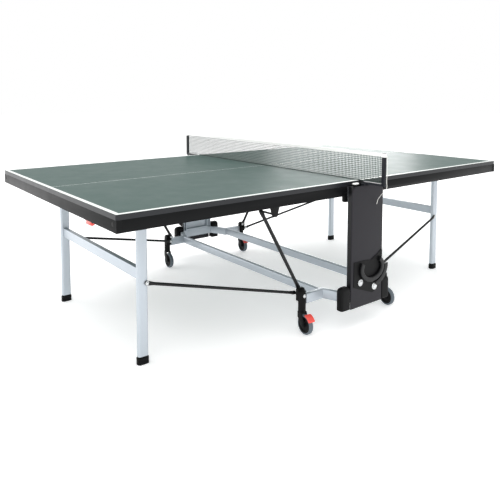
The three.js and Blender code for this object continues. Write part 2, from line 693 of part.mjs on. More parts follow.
/** A net post, the arm that carries it, and the stand that holds the arm in the top of the tower. */
function netPost(side) {
  const low = TABLE_HEIGHT - POST_BELOW_SURFACE;
  const span = (x, y0, y1, z0, z1) => block([-x, side * y0, z0], [x, side * y1, z1]);
  const section = roundRectangle(POST_DEPTH, POST_WIDTH, POST_CORNER, 0, side * (postInner + postOuter) / 2);
  const standInner = towerInner + 4;
  const standOuter = towerOuter - TOWER_WEB - SEAT;
  const arm = span(POST_ARM.halfWidth, standInner, postInner + 3, low, low + POST_ARM.height);
  const stand = span(POST_STAND.halfWidth, standInner, standOuter, towerTop - POST_STAND.depth, low + 2);
  return extrudeUp(section, low, TABLE_HEIGHT + NET_HEIGHT).add(arm).add(stand);
}

/** The net, a thin sheet between the posts. */
function net() {
  const reach = postInner - SEAT;
  const x = NET_THICKNESS / 2;
  return block([-x, -reach, TABLE_HEIGHT + 1], [x, reach, TABLE_HEIGHT + NET_HEIGHT - 1]);
}

/** The free end of the net's tension cord, which hangs from the near post's head over the cover. */
const CORD_POINTS = [
  [2, -929, 902], [3, -930.5, 885], [4, -931.5, 862], [5, -932, 840], [5, -932, 818], [3, -932, 798],
  [2, -931.5, 780], [4, -931, 761], [9, -928, 743], [15, -917, 728], [23, -899, 713], [33, -880, 700],
  [44, -862, 686], [53, -846, 672], [60, -834, 660], [64, -827, 648], [64, -823.5, 636],
];

function netCord() {
  const curve = new THREE.CatmullRomCurve3(CORD_POINTS.map((p) => new THREE.Vector3(...p)));
  const section = new THREE.Shape();
  section.absarc(0, 0, CORD_DIAMETER / 2, 0, 2 * Math.PI);
  const options = { steps: 44, extrudePath: curve, curveSegments: 4, bevelEnabled: false };
  return solid(new THREE.ExtrudeGeometry(section, options));
}

function netAssembly() {
  const assembly = new Assembly();
  assembly.part('net', net(), netMesh);
  for (const [where, side] of [['near', -1], ['far', 1]]) {
    assembly.part(`${where}_net_post`, netPost(side), postPaint);
  }
  assembly.part('net_tension_cord', netCord(), whiteCord);
  return assembly;
}

// ---- The table ---------------------------------------------------------------------------------

const table = new THREE.Group();
table.add(chassisAssembly(), halfTable('left'), halfTable('right'), netAssembly());

export default table;
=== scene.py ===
"""The looks of a folding ping pong table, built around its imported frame.

Each sub-assembly is a class with its sizes as fields. Lengths are in metres, in the frame's own axes:
X along the table, Y across it with the near side at -Y, and Z up. Places come from the frame's nodes.
"""

import json
import logging
import math
from collections.abc import Callable, Iterable
from dataclasses import dataclass
from enum import Enum
from functools import cached_property

import bmesh
import bpy
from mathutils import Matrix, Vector


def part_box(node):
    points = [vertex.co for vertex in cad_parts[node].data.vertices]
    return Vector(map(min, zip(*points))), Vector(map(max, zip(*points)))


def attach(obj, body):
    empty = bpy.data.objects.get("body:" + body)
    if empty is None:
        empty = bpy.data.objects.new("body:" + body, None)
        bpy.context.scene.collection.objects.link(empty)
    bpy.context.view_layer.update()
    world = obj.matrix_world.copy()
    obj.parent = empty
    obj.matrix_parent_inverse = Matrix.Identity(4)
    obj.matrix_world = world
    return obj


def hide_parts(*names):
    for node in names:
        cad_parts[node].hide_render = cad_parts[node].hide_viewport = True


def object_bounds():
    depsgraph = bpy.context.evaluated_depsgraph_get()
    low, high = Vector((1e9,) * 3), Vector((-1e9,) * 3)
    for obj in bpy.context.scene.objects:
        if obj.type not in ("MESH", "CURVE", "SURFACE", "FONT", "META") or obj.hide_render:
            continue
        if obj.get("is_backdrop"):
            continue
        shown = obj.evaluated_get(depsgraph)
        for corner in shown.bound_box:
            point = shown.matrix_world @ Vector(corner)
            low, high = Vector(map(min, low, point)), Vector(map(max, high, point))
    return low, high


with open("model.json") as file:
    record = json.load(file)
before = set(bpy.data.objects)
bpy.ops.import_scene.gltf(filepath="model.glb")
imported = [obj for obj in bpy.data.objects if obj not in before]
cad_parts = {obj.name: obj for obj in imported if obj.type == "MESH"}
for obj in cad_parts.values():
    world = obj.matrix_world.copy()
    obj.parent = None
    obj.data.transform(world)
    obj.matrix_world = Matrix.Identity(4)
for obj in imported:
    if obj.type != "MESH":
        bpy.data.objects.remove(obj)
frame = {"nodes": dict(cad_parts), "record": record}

MM = 0.001
WHITE = (1.0, 1.0, 1.0, 1.0)
COAT_ROUGHNESS = 0.12
BUMP_STRENGTH = 0.6
CELLS_PER_BAND = 3.2
# Edges that turn by more than this many degrees are square; the facets of a round corner turn by less.
SQUARE = 60.0
Pair = tuple[float, float]
Point = tuple[float, float, float]
log = logging.getLogger("ping_pong_table")


# ---- Colours and finishes ----------------------------------------------------------------------


def linear(hex_colour: str) -> tuple[float, float, float, float]:
    """Turns an sRGB hex colour to linear.

    Args:
        hex_colour: Six hex digits with a leading #.

    Returns:
        Linear red, green and blue, and an alpha of 1.
    """
    channels = [int(hex_colour[i : i + 2], 16) / 255 for i in (1, 3, 5)]
    red, green, blue = [c / 12.92 if c <= 0.04045 else ((c + 0.055) / 1.055) ** 2.4 for c in channels]
    return red, green, blue, 1.0


def add_node(
    tree: bpy.types.NodeTree, kind: str, settings: dict | None = None, links: dict | None = None
) -> bpy.types.Node:
    """Adds a node to a tree.

    Args:
        tree: The node tree.
        kind: The node's type.
        settings: Input values by the input's name, and other properties by theirs.
        links: The output that feeds each input, by the input's name or number.

    Returns:
        The new node.
    """
    node = tree.nodes.new(kind)
    for key, value in (settings or {}).items():
        if key in node.inputs:
            node.inputs[key].default_value = value
        else:
            setattr(node, key, value)
    for key, source in (links or {}).items():
        tree.links.new(source, node.inputs[key])
    return node


def add_object(name: str, data: bpy.types.ID) -> bpy.types.Object:
    """Puts a new object in the scene.

    Args:
        name: Its name.
        data: Its mesh, curve, camera or light.

    Returns:
        The new object.
    """
    made = bpy.data.objects.new(name, data)
    bpy.context.scene.collection.objects.link(made)
    return made


class Texture(Enum):
    """How a surface was made, which sets the pattern in its relief."""

    SPRAYED = "sprayed"
    MOULDED = "moulded"
    WOVEN = "woven"
    BRAIDED = "braided"
    TURNED = "turned"


@dataclass(frozen=True)
class Finish:
    """A material with its colour, gloss and the relief of the process that made it.

    Grain is the size of the relief's cells and patch that of the slow changes in tone, in millimetres.
    """

    name: str
    slot: str
    colour: str
    shade: str
    roughness: float
    grain: float
    relief: float
    texture: Texture = Texture.SPRAYED
    patch: float = 90.0
    metallic: float = 0.0
    spread: float = 0.06
    coat: float = 0.0
    specular: float = 0.5

    def material(self) -> bpy.types.Material:
        """Builds the finish's material, the first time it is asked for.

        Returns:
            The material.
        """
        if self.name in bpy.data.materials:
            return bpy.data.materials[self.name]
        made = bpy.data.materials.new(self.name)
        made.use_nodes = True
        tree = made.node_tree
        shader = tree.nodes["Principled BSDF"]
        shader.inputs["Metallic"].default_value = self.metallic
        shader.inputs["Coat Weight"].default_value = self.coat
        shader.inputs["Coat Roughness"].default_value = COAT_ROUGHNESS
        shader.inputs["Specular IOR Level"].default_value = self.specular
        place = add_node(tree, "ShaderNodeTexCoord").outputs["Object"]
        patches = add_node(
            tree, "ShaderNodeTexNoise", {"Scale": 1 / (self.patch * MM), "Detail": 3.0}, {"Vector": place}
        )
        height = self.height(tree, place)
        tone = add_node(tree, "ShaderNodeMix", {"data_type": "RGBA"}, {0: patches.outputs["Fac"]})
        tone.inputs[6].default_value = linear(self.colour)
        tone.inputs[7].default_value = linear(self.shade)
        gloss = add_node(
            tree,
            "ShaderNodeMapRange",
            {"To Min": self.roughness - self.spread, "To Max": self.roughness + self.spread},
            {"Value": patches.outputs["Fac"]},
        )
        settings = {"Strength": BUMP_STRENGTH, "Distance": self.relief * MM}
        bump = add_node(tree, "ShaderNodeBump", settings, {"Height": height})
        tree.links.new(tone.outputs[2], shader.inputs["Base Color"])
        tree.links.new(gloss.outputs["Result"], shader.inputs["Roughness"])
        tree.links.new(bump.outputs["Normal"], shader.inputs["Normal"])
        return made

    def height(self, tree: bpy.types.NodeTree, place: bpy.types.NodeSocket) -> bpy.types.NodeSocket:
        """Adds the relief's pattern to a material.

        Args:
            tree: The material's nodes.
            place: The coordinates to draw it in.

        Returns:
            The output that holds the height.
        """
        cells = 1 / (self.grain * MM)
        if self.texture is Texture.MOULDED:
            spark = add_node(tree, "ShaderNodeTexVoronoi", {"Scale": cells}, {"Vector": place})
            return spark.outputs["Distance"]
        if self.texture in (Texture.WOVEN, Texture.BRAIDED):
            bands = [
                add_node(
                    tree,
                    "ShaderNodeTexWave",
                    {"bands_direction": axis, "Scale": cells / CELLS_PER_BAND, "Distortion": twist},
                    {"Vector": place},
                ).outputs["Fac"]
                for axis, twist in self.bands()
            ]
            return add_node(
                tree, "ShaderNodeMath", {"operation": "MAXIMUM"}, {0: bands[0], 1: bands[1]}
            ).outputs[0]
        if self.texture is Texture.TURNED:
            rings = {"wave_type": "RINGS", "rings_direction": "SPHERICAL", "Scale": cells}
            return add_node(tree, "ShaderNodeTexWave", rings, {"Vector": place}).outputs["Fac"]
        peel = add_node(tree, "ShaderNodeTexNoise", {"Scale": cells, "Detail": 2.0}, {"Vector": place})
        return peel.outputs["Fac"]

    def bands(self) -> list[tuple[str, float]]:
        """Gives the two directions of a weave's threads.

        Returns:
            Each direction, with how far the threads wander.
        """
        if self.texture is Texture.BRAIDED:
            return [("DIAGONAL", 0.4), ("Z", 0.8)]
        return [("Y", 0.3), ("Z", 0.3)]


# Wood fibre board under roller-coated acrylic paint: flat, with a fine stipple that only dulls the gloss.
TABLE_PAINT = Finish(
    "acrylic_table_paint", "playing_surface", "#2B4842", "#304D47", 0.4, 1.6, 0.05, specular=0.15
)
# The lines are screen printed in the same acrylic, a hair proud of the green.
LINE_PAINT = Finish("acrylic_line_paint", "playing_surface", "#E9EDEA", "#DFE4E1", 0.42, 1.6, 0.04)
# Polyester powder coat on steel has an orange peel about a millimetre across and a satin gloss.
APRON_COAT = Finish(
    "powder_coat_anthracite", "painted_apron", "#0E0F10", "#121314", 0.42, 1.4, 0.05, specular=0.1
)
# The edge of the board is sealed in a paler, duller charcoal than the steel under it.
EDGE_PAINT = Finish("charcoal_edge_seal", "painted_apron", "#1B1D20", "#212327", 0.4, 2.0, 0.06, specular=0.3)
# Silver powder coat carries aluminium flake, so it is partly metallic with a soft sparkle.
SILVER_COAT = Finish(
    "powder_coat_silver", "silver_paint", "#B4BCC4", "#BDC5CC", 0.36, 1.1, 0.04, metallic=0.35, patch=140.0
)
# Gloss black enamel on drawn bar and pressed plate, thin enough to show the drawing lines.
BLACK_ENAMEL = Finish("black_enamel", "black_steel", "#0B0C0D", "#121315", 0.34, 1.2, 0.05, specular=0.28)
# Glass-filled nylon from a spark-eroded mould: black, dull and slightly pitted.
NYLON = Finish(
    "moulded_nylon_black",
    "black_plastic",
    "#070708",
    "#0D0E0F",
    0.52,
    0.9,
    0.06,
    Texture.MOULDED,
    specular=0.14,
)
# Powder coat with a fine texture, dark grey with a violet cast.
COVER_COAT = Finish(
    "powder_coat_dark_grey", "grey_cover", "#1E1D22", "#232227", 0.48, 1.3, 0.06, specular=0.2
)
# Grey thermoplastic rubber, moulded on the hub: soft, matt and a little dusty.
TREAD = Finish("thermoplastic_rubber", "wheel_rubber", "#565F66", "#616A71", 0.62, 1.5, 0.08, Texture.MOULDED)
# Injection moulded ABS in white, for the small stop on each tower.
WHITE_ABS = Finish("moulded_abs_white", "white_cord", "#F2F2F0", "#EAEAE8", 0.4, 1.8, 0.04, Texture.MOULDED)
# Injection moulded ABS in coral red, with a gloss skin.
RED_ABS = Finish(
    "moulded_abs_red", "red_plastic", "#E2453A", "#EA5248", 0.32, 1.8, 0.04, Texture.MOULDED, coat=0.2
)
# Zinc plate on turned steel fasteners: bright, with faint turning rings.
ZINC = Finish(
    "zinc_plated_steel", "silver_paint", "#C9CCCD", "#D6D8D9", 0.24, 0.8, 0.03, Texture.TURNED, metallic=0.9
)
# Powder coat in blue black, as on the net posts and their clamps.
POST_COAT = Finish(
    "powder_coat_blue_black", "post_paint", "#0E1117", "#13171E", 0.42, 1.2, 0.05, specular=0.3
)
# Twisted nylon twine, dyed dark green; the lay of the twist is drawn at its real size.
TWINE = Finish("nylon_twine", "net_mesh", "#34423D", "#3F4E48", 0.7, 0.9, 0.2, Texture.BRAIDED)
# Plain-woven cotton tape. Its threads are 0.4 mm apart and are drawn at 1.2 mm so that they show.
COTTON_TAPE = Finish("woven_cotton_tape", "net_mesh", "#FBFBF9", "#F4F5F2", 0.8, 1.2, 0.25, Texture.WOVEN)
# Braided polyester cord, with one plait about every 1.5 mm.
BRAIDED_CORD = Finish(
    "braided_polyester_cord", "white_cord", "#EDEDE8", "#DCDCD6", 0.75, 1.5, 0.5, Texture.BRAIDED
)


# ---- Shapes ------------------------------------------------------------------------------------


# The chamfer of a bar's end, and the profiles of a washer and a bolt's dome, as shares of the radius.
CHAMFER = 0.15
WASHER = [(1.35, 0), (1.4, 0.1), (1.35, 0.2), (1, 0.22)]
DOME = [(math.cos(a), 0.28 + 0.5 * math.sin(a)) for a in (0.15, 0.5, 0.9, 1.25, 1.5)]


class Plane(Enum):
    """The plane that a flat outline is drawn in. The third axis is the one it is extruded along."""

    XY = (0, 1, 2)
    XZ = (0, 2, 1)

    def point(self, a: float, b: float, depth: float) -> Vector:
        """Places a point of an outline.

        Args:
            a: Its first coordinate.
            b: Its second coordinate.
            depth: Where it lies along the third axis.

        Returns:
            The point.
        """
        place = Vector((0.0, 0.0, 0.0))
        for axis, value in zip(self.value, (a, b, depth)):
            place[axis] = value
        return place


def rounded(corners: Iterable[Point], steps: int = 6) -> list[Pair]:
    """Rounds the corners of an outline.

    Args:
        corners: Each corner's two coordinates and its radius, which may be 0.
        steps: The number of edges along each arc.

    Returns:
        The points of the outline.
    """
    corners = list(corners)
    points = []
    for i, (a, b, radius) in enumerate(corners):
        here = Vector((a, b))
        if radius <= 0:
            points.append((a, b))
            continue
        before = (Vector(corners[i - 1][:2]) - here).normalized()
        after = (Vector(corners[(i + 1) % len(corners)][:2]) - here).normalized()
        half = before.angle(after) / 2
        centre = here + (before + after).normalized() * (radius / math.sin(half))
        start = here + before * (radius / math.tan(half)) - centre
        turn = start.angle_signed(here + after * (radius / math.tan(half)) - centre)
        for k in range(steps + 1):
            angle = -turn * k / steps
            cosine, sine = math.cos(angle), math.sin(angle)
            points.append(
                (centre.x + start.x * cosine - start.y * sine, centre.y + start.x * sine + start.y * cosine)
            )
    return points


def rectangle(low: Pair, high: Pair, radius: float = 0.0, steps: int = 6) -> list[Pair]:
    """Draws a rectangle with rounded corners.

    Args:
        low: Its lowest corner.
        high: Its highest corner.
        radius: The radius of its corners.
        steps: The number of edges along each corner.

    Returns:
        The points of the outline.
    """
    (a0, b0), (a1, b1) = low, high
    return rounded([(a0, b0, radius), (a1, b0, radius), (a1, b1, radius), (a0, b1, radius)], steps)


def mirrored(profile: list[Pair], half: float) -> list[Pair]:
    """Completes the profile of a wheel that is the same on both faces.

    Args:
        profile: Radius and depth below a face of each point.
        half: Half the distance between the faces.

    Returns:
        Radius and height of each point, from one face to the other.
    """
    return [(r, depth - half) for r, depth in profile] + [(r, half - depth) for r, depth in reversed(profile)]


class Shape:
    """A mesh under construction, made of closed pieces."""

    def __init__(self) -> None:
        """Starts with nothing in it."""
        self.mesh = bmesh.new()

    def loft(self, rings: Iterable[Iterable[Vector]], closed: bool = False) -> "Shape":
        """Joins rings of equal length with faces.

        Args:
            rings: The rings, in order.
            closed: Whether the last ring joins the first. If not, both ends are capped.

        Returns:
            The shape itself.
        """
        made = [[self.mesh.verts.new(p) for p in ring] for ring in rings]
        for low, high in zip(made, made[1:] + (made[:1] if closed else [])):
            for i in range(len(low)):
                j = (i + 1) % len(low)
                self.mesh.faces.new((low[i], low[j], high[j], high[i]))
        if not closed:
            self.mesh.faces.new(list(reversed(made[0])))
            self.mesh.faces.new(made[-1])
        return self

    def prism(self, outline: list[Pair], plane: Plane, low: float, high: float) -> "Shape":
        """Extrudes an outline.

        Args:
            outline: The points of the outline.
            plane: The plane that it is drawn in.
            low: The depth that it starts from.
            high: The depth that it ends at.

        Returns:
            The shape itself.
        """
        return self.loft([[plane.point(a, b, depth) for a, b in outline] for depth in (low, high)])

    def block(self, low: Point, high: Point, radius: float = 0.0) -> "Shape":
        """Adds a block.

        Args:
            low: One corner.
            high: The corner opposite.
            radius: The radius of its upright edges.

        Returns:
            The shape itself.
        """
        low, high = [min(p) for p in zip(low, high)], [max(p) for p in zip(low, high)]
        return self.prism(rectangle(low[:2], high[:2], radius), Plane.XY, low[2], high[2])

    def lathe(
        self, profile: list[Pair], centre: Point, axis: Point, sides: int = 32, bored: bool = False
    ) -> "Shape":
        """Turns a profile about an axis.

        Args:
            profile: Radius and height of each ring, from the lowest to the highest.
            centre: Where height 0 lies.
            axis: The direction of increasing height.
            sides: The number of sides round the axis.
            bored: Whether the profile is a closed outline round a bore.

        Returns:
            The shape itself.
        """
        along = Vector(axis).normalized()
        across = along.orthogonal().normalized()
        third = along.cross(across)
        turns = [2 * math.pi * k / sides for k in range(sides)]
        spokes = [across * math.cos(t) + third * math.sin(t) for t in turns]
        rings = [[Vector(centre) + along * h + spoke * max(r, 1e-5) for spoke in spokes] for r, h in profile]
        return self.loft(zip(*rings), closed=True) if bored else self.loft(rings)

    def bar(self, start: Point, end: Point, radius: float, sides: int = 20) -> "Shape":
        """Adds a round bar with a small chamfer at each end.

        Args:
            start: The middle of one end.
            end: The middle of the other end.
            radius: The bar's radius.
            sides: The number of sides round it.

        Returns:
            The shape itself.
        """
        span = Vector(end) - Vector(start)
        edge = min(radius * CHAMFER, span.length / 4)
        below = span.length - edge
        profile = [(radius - edge, 0), (radius, edge), (radius, below), (radius - edge, span.length)]
        return self.lathe(profile, start, tuple(span), sides)

    def bolt(self, place: Point, axis: Point, radius: float) -> "Shape":
        """Adds a domed bolt head on a washer.

        Args:
            place: Where the washer stands.
            axis: The way the head points.
            radius: The head's radius.

        Returns:
            The shape itself.
        """
        return self.lathe([(radius * r, radius * h) for r, h in WASHER + DOME], place, axis, 24)

    def copy(self, node: str) -> "Shape":
        """Adds a copy of a frame node's solid, its flat faces whole again.

        Args:
            node: The node's name.

        Returns:
            The shape itself.
        """
        source = frame["nodes"][node]
        self.mesh.from_mesh(source.data)
        self.mesh.transform(source.matrix_world)
        bmesh.ops.remove_doubles(self.mesh, verts=self.mesh.verts, dist=1e-6)
        bmesh.ops.dissolve_limit(
            self.mesh, angle_limit=math.radians(0.5), verts=self.mesh.verts, edges=self.mesh.edges
        )
        return self

    def soften(self, width: float, over: float = 40.0, segments: int = 2) -> "Shape":
        """Bevels the sharp edges.

        Args:
            width: The bevel's width.
            over: The angle in degrees that an edge turns by at least.
            segments: The number of faces across the bevel.

        Returns:
            The shape itself.
        """
        sharp = [
            e for e in self.mesh.edges if len(e.link_faces) == 2 and e.calc_face_angle(0) > math.radians(over)
        ]
        bmesh.ops.bevel(
            self.mesh,
            geom=sharp,
            offset=width,
            segments=segments,
            profile=0.5,
            affect="EDGES",
            clamp_overlap=True,
        )
        return self

    def piece(self, name: str, finish: Finish, body: str, replaces: Iterable[str] = ()) -> bpy.types.Object:
        """Turns the shape into a piece of the model.

        Args:
            name: The piece's name.
            finish: Its finish.
            body: The body that it moves with.
            replaces: The frame nodes that it stands for.

        Returns:
            The new object.
        """
        bmesh.ops.recalc_face_normals(self.mesh, faces=self.mesh.faces)
        data = bpy.data.meshes.new(name)
        self.mesh.to_mesh(data)
        self.mesh.free()
        data.shade_smooth()
        data.set_sharp_from_angle(angle=math.radians(32))
        return dress(add_object(name, data), finish, body, replaces)


def dress(
    piece: bpy.types.Object, finish: Finish, body: str, replaces: Iterable[str] = ()
) -> bpy.types.Object:
    """Gives a piece its finish and body.

    Args:
        piece: The object.
        finish: Its finish.
        body: The body that it moves with.
        replaces: The frame nodes that it stands for.

    Returns:
        The same object.
    """
    piece.data.materials.clear()
    piece.data.materials.append(finish.material())
    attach(piece, body)
    if replaces:
        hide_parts(*replaces)
    log.info("%s rides on %s in %s", piece.name, body, finish.name)
    return piece


def middle(node: str) -> Vector:
    """Returns the centre of a node's box."""
    low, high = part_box(node)
    return (Vector(low) + Vector(high)) / 2


def joint(name: str) -> dict:
    """Returns a joint of the record by its name."""
    return next(j for j in frame["record"]["behaviour"]["joints"] if j["name"] == name)


class End(Enum):
    """The two ends of the table."""

    LEFT = -1
    RIGHT = 1

    @property
    def word(self) -> str:
        """The end's name in the frame."""
        return self.name.lower()


class Side(Enum):
    """The two sides of the table."""

    NEAR = -1
    FAR = 1

    @property
    def word(self) -> str:
        """The side's name in the frame."""
        return self.name.lower()


# ---- Camera, floor and light -------------------------------------------------------------------


@dataclass
class Studio:
    """The camera, a pale floor and soft light.

    Angles are in degrees and powers in watts. A lamp is a name, a place, a size and a power.
    """

    camera_place: Point = (-2.234, -2.640, 1.209)
    camera_turn: float = 37.35
    camera_tilt: float = -4.29
    lens: float = 39.66
    shift: Pair = (0.0246, -0.2298)
    floor_size: float = 60.0
    floor_colour: str = "#FAFAFA"
    floor_roughness: float = 0.9
    sky_light: float = 1.0
    floor_glow: float = 0.35
    aim: Point = (0.0, 0.0, 0.5)
    lamps: tuple[tuple[str, Point, float, float], ...] = (
        ("overhead", (0.0, 0.5, 7.0), 9.0, 260.0),
        ("key", (-4.2, -3.4, 4.0), 3.0, 60.0),
        ("end_light", (-4.0, 4.2, 1.4), 2.6, 48.0),
        ("far_sheen", (5.6, 4.4, 1.6), 2.6, 110.0),
    )

    def build(self) -> None:
        """Places the camera, floor and lights."""
        scene = bpy.context.scene
        camera = add_object("camera", bpy.data.cameras.new("camera"))
        camera.data.lens = self.lens
        camera.data.shift_x, camera.data.shift_y = self.shift
        camera.location = self.camera_place
        camera.rotation_euler = (math.radians(90 + self.camera_tilt), 0.0, -math.radians(self.camera_turn))
        scene.camera = camera
        scene.view_settings.view_transform = "Standard"
        self.floor()
        for name, place, size, power in self.lamps:
            self.lamp(name, place, size, power)
        world = bpy.data.worlds.new("studio")
        world.use_nodes = True
        sky = world.node_tree.nodes["Background"]
        sky.inputs["Color"].default_value = WHITE
        sky.inputs["Strength"].default_value = self.sky_light
        scene.world = world

    def floor(self) -> None:
        """Lays a plain pale floor under the table."""
        half = self.floor_size / 2
        sheet = [(-half, -half, 0), (half, -half, 0), (half, half, 0), (-half, half, 0)]
        data = bpy.data.meshes.new("floor")
        data.from_pydata(sheet, [], [(0, 1, 2, 3)])
        floor = add_object("floor", data)
        paint = bpy.data.materials.new("studio_floor")
        paint.use_nodes = True
        shader = paint.node_tree.nodes["Principled BSDF"]
        shader.inputs["Base Color"].default_value = linear(self.floor_colour)
        shader.inputs["Roughness"].default_value = self.floor_roughness
        shader.inputs["Specular IOR Level"].default_value = 0.0
        shader.inputs["Emission Color"].default_value = WHITE
        shader.inputs["Emission Strength"].default_value = self.floor_glow
        data.materials.append(paint)
        floor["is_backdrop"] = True

    def lamp(self, name: str, place: Point, size: float, power: float) -> None:
        """Hangs a square soft box that points at the table.

        Args:
            name: Its name.
            place: Where it hangs.
            size: The length of its sides.
            power: Its power in watts.
        """
        light = bpy.data.lights.new(name, "AREA")
        light.size = size
        light.energy = power
        made = add_object(name, light)
        made.location = place
        made.rotation_euler = (Vector(self.aim) - Vector(place)).to_track_quat("-Z", "Y").to_euler()


# ---- Net ---------------------------------------------------------------------------------------


@dataclass
class TensionCord:
    """The free end of the cord that pulls the net tight, from the near post's head."""

    diameter: float = 0.003
    route: tuple[Point, ...] = (
        (0.002, -0.929, 0.902),
        (0.003, -0.9305, 0.885),
        (0.004, -0.9315, 0.862),
        (0.005, -0.932, 0.840),
        (0.005, -0.932, 0.818),
        (0.003, -0.932, 0.798),
        (0.002, -0.9315, 0.780),
        (0.004, -0.931, 0.761),
        (0.009, -0.928, 0.743),
        (0.015, -0.917, 0.728),
        (0.023, -0.899, 0.713),
        (0.033, -0.880, 0.700),
        (0.044, -0.862, 0.686),
        (0.053, -0.846, 0.672),
        (0.060, -0.834, 0.660),
        (0.064, -0.827, 0.648),
        (0.064, -0.8235, 0.636),
    )

    def build(self) -> None:
        """Lays the cord along its route."""
        curve = bpy.data.curves.new("tension_cord", "CURVE")
        curve.dimensions = "3D"
        curve.bevel_depth = self.diameter / 2
        curve.bevel_resolution = 3
        curve.use_fill_caps = True
        curve.resolution_u = 6
        spline = curve.splines.new("BEZIER")
        spline.bezier_points.add(len(self.route) - 1)
        for point, place in zip(spline.bezier_points, self.route):
            point.co = place
            point.handle_left_type = point.handle_right_type = "AUTO"
        cord = dress(add_object("tension_cord", curve), BRAIDED_CORD, "chassis", ["net_tension_cord"])


@dataclass
class NetSet:
    """The knotted net, its tapes and its two posts."""

    cell: float = 0.010
    twine: float = 0.0017
    knot: float = 0.95
    tape_depth: float = 0.015
    tape_half: float = 0.0022
    tape_cloth: float = 0.0007
    tape_bend: float = 0.9
    post_edge: float = 0.0008
    post_inset: float = 0.012
    sleeve: Point = (0.0078, 0.0128, 0.0055)
    sleeve_edge: float = 0.0006
    sleeve_drop: Pair = (0.019, 0.001)
    knob: Point = (0.011, 0.006, 0.05)

    def build(self) -> None:
        """Builds the netting, tapes and posts."""
        low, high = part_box("net")
        self.netting(low, high)
        self.tape(low, high)
        for side in Side:
            self.post(side)

    def netting(self, low: Vector, high: Vector) -> None:
        """Knots the netting between the posts.

        Args:
            low: The net's lowest corner.
            high: Its highest corner.
        """
        shape = Shape()
        half = self.twine / 2
        across = round((high[1] - low[1]) / self.cell)
        rows = round((high[2] - low[2]) / self.cell)
        stations = [low[1] + (high[1] - low[1]) * k / across for k in range(1, across)]
        heights = [low[2] + (high[2] - low[2]) * k / rows for k in range(1, rows)]
        for y in stations:
            shape.block((-half, y - half, low[2] + half), (half, y + half, high[2] - half))
        for z in heights:
            shape.block((-half, low[1], z - half), (half, high[1], z + half))
            for y in stations:
                knot = self.twine * self.knot
                shape.lathe([(0, -knot), (knot, 0), (0, knot)], (0, y, z), (1, 0, 0), 4)
        net = shape.piece("netting", TWINE, "chassis", ["net"])

    def tape(self, low: Vector, high: Vector) -> None:
        """Folds the white tape over the top of the net and runs a dark cord along its foot.

        Args:
            low: The net's lowest corner.
            high: Its highest corner.
        """
        top, bottom = high[2] + self.tape_cloth, high[2] - self.tape_depth
        fold = []
        for half, crest, turn in (
            (self.tape_half, top, -1),
            (self.tape_half - self.tape_cloth, top - self.tape_cloth, 1),
        ):
            bend = half * self.tape_bend
            fold += [(turn * half, bottom, 0), (turn * half, crest, bend)]
            fold += [(-turn * half, crest, bend), (-turn * half, bottom, 0)]
        cloth = Shape().prism(rounded(fold, 4), Plane.XZ, low[1], high[1])
        tape = cloth.piece("top_tape", COTTON_TAPE, "chassis")
        foot = low[2] + self.twine
        cord = Shape().bar((0, low[1], foot), (0, high[1], foot), self.twine, 10)
        cord.piece("foot_cord", TWINE, "chassis")

    def post(self, side: Side) -> None:
        """Builds a post with its arm, stand, cap and the white sleeve of tape round its head.

        Args:
            side: The side of the table that it is on.
        """
        word = side.word
        node = f"{word}_net_post"
        low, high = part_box(node)
        post = Shape().copy(node).soften(self.post_edge)
        post.piece(f"{word}_post_and_arm", POST_COAT, "chassis", [node])
        y = side.value * (max(abs(low[1]), abs(high[1])) - self.post_inset)
        half_x, half_y, corner = self.sleeve
        bottom, top = (high[2] - drop for drop in self.sleeve_drop)
        sleeve = Shape().block((-half_x, y - half_y, bottom), (half_x, y + half_y, top), corner)
        sleeve.soften(self.sleeve_edge).piece(f"{word}_tape_sleeve", COTTON_TAPE, "chassis")
        reach, radius, rise = self.knob
        knob = Shape().bar((0, y, low[2] + rise), (reach, y, low[2] + rise), radius)
        knob.piece(f"{word}_clamp_knob", NYLON, "chassis")


# ---- Half table --------------------------------------------------------------------------------


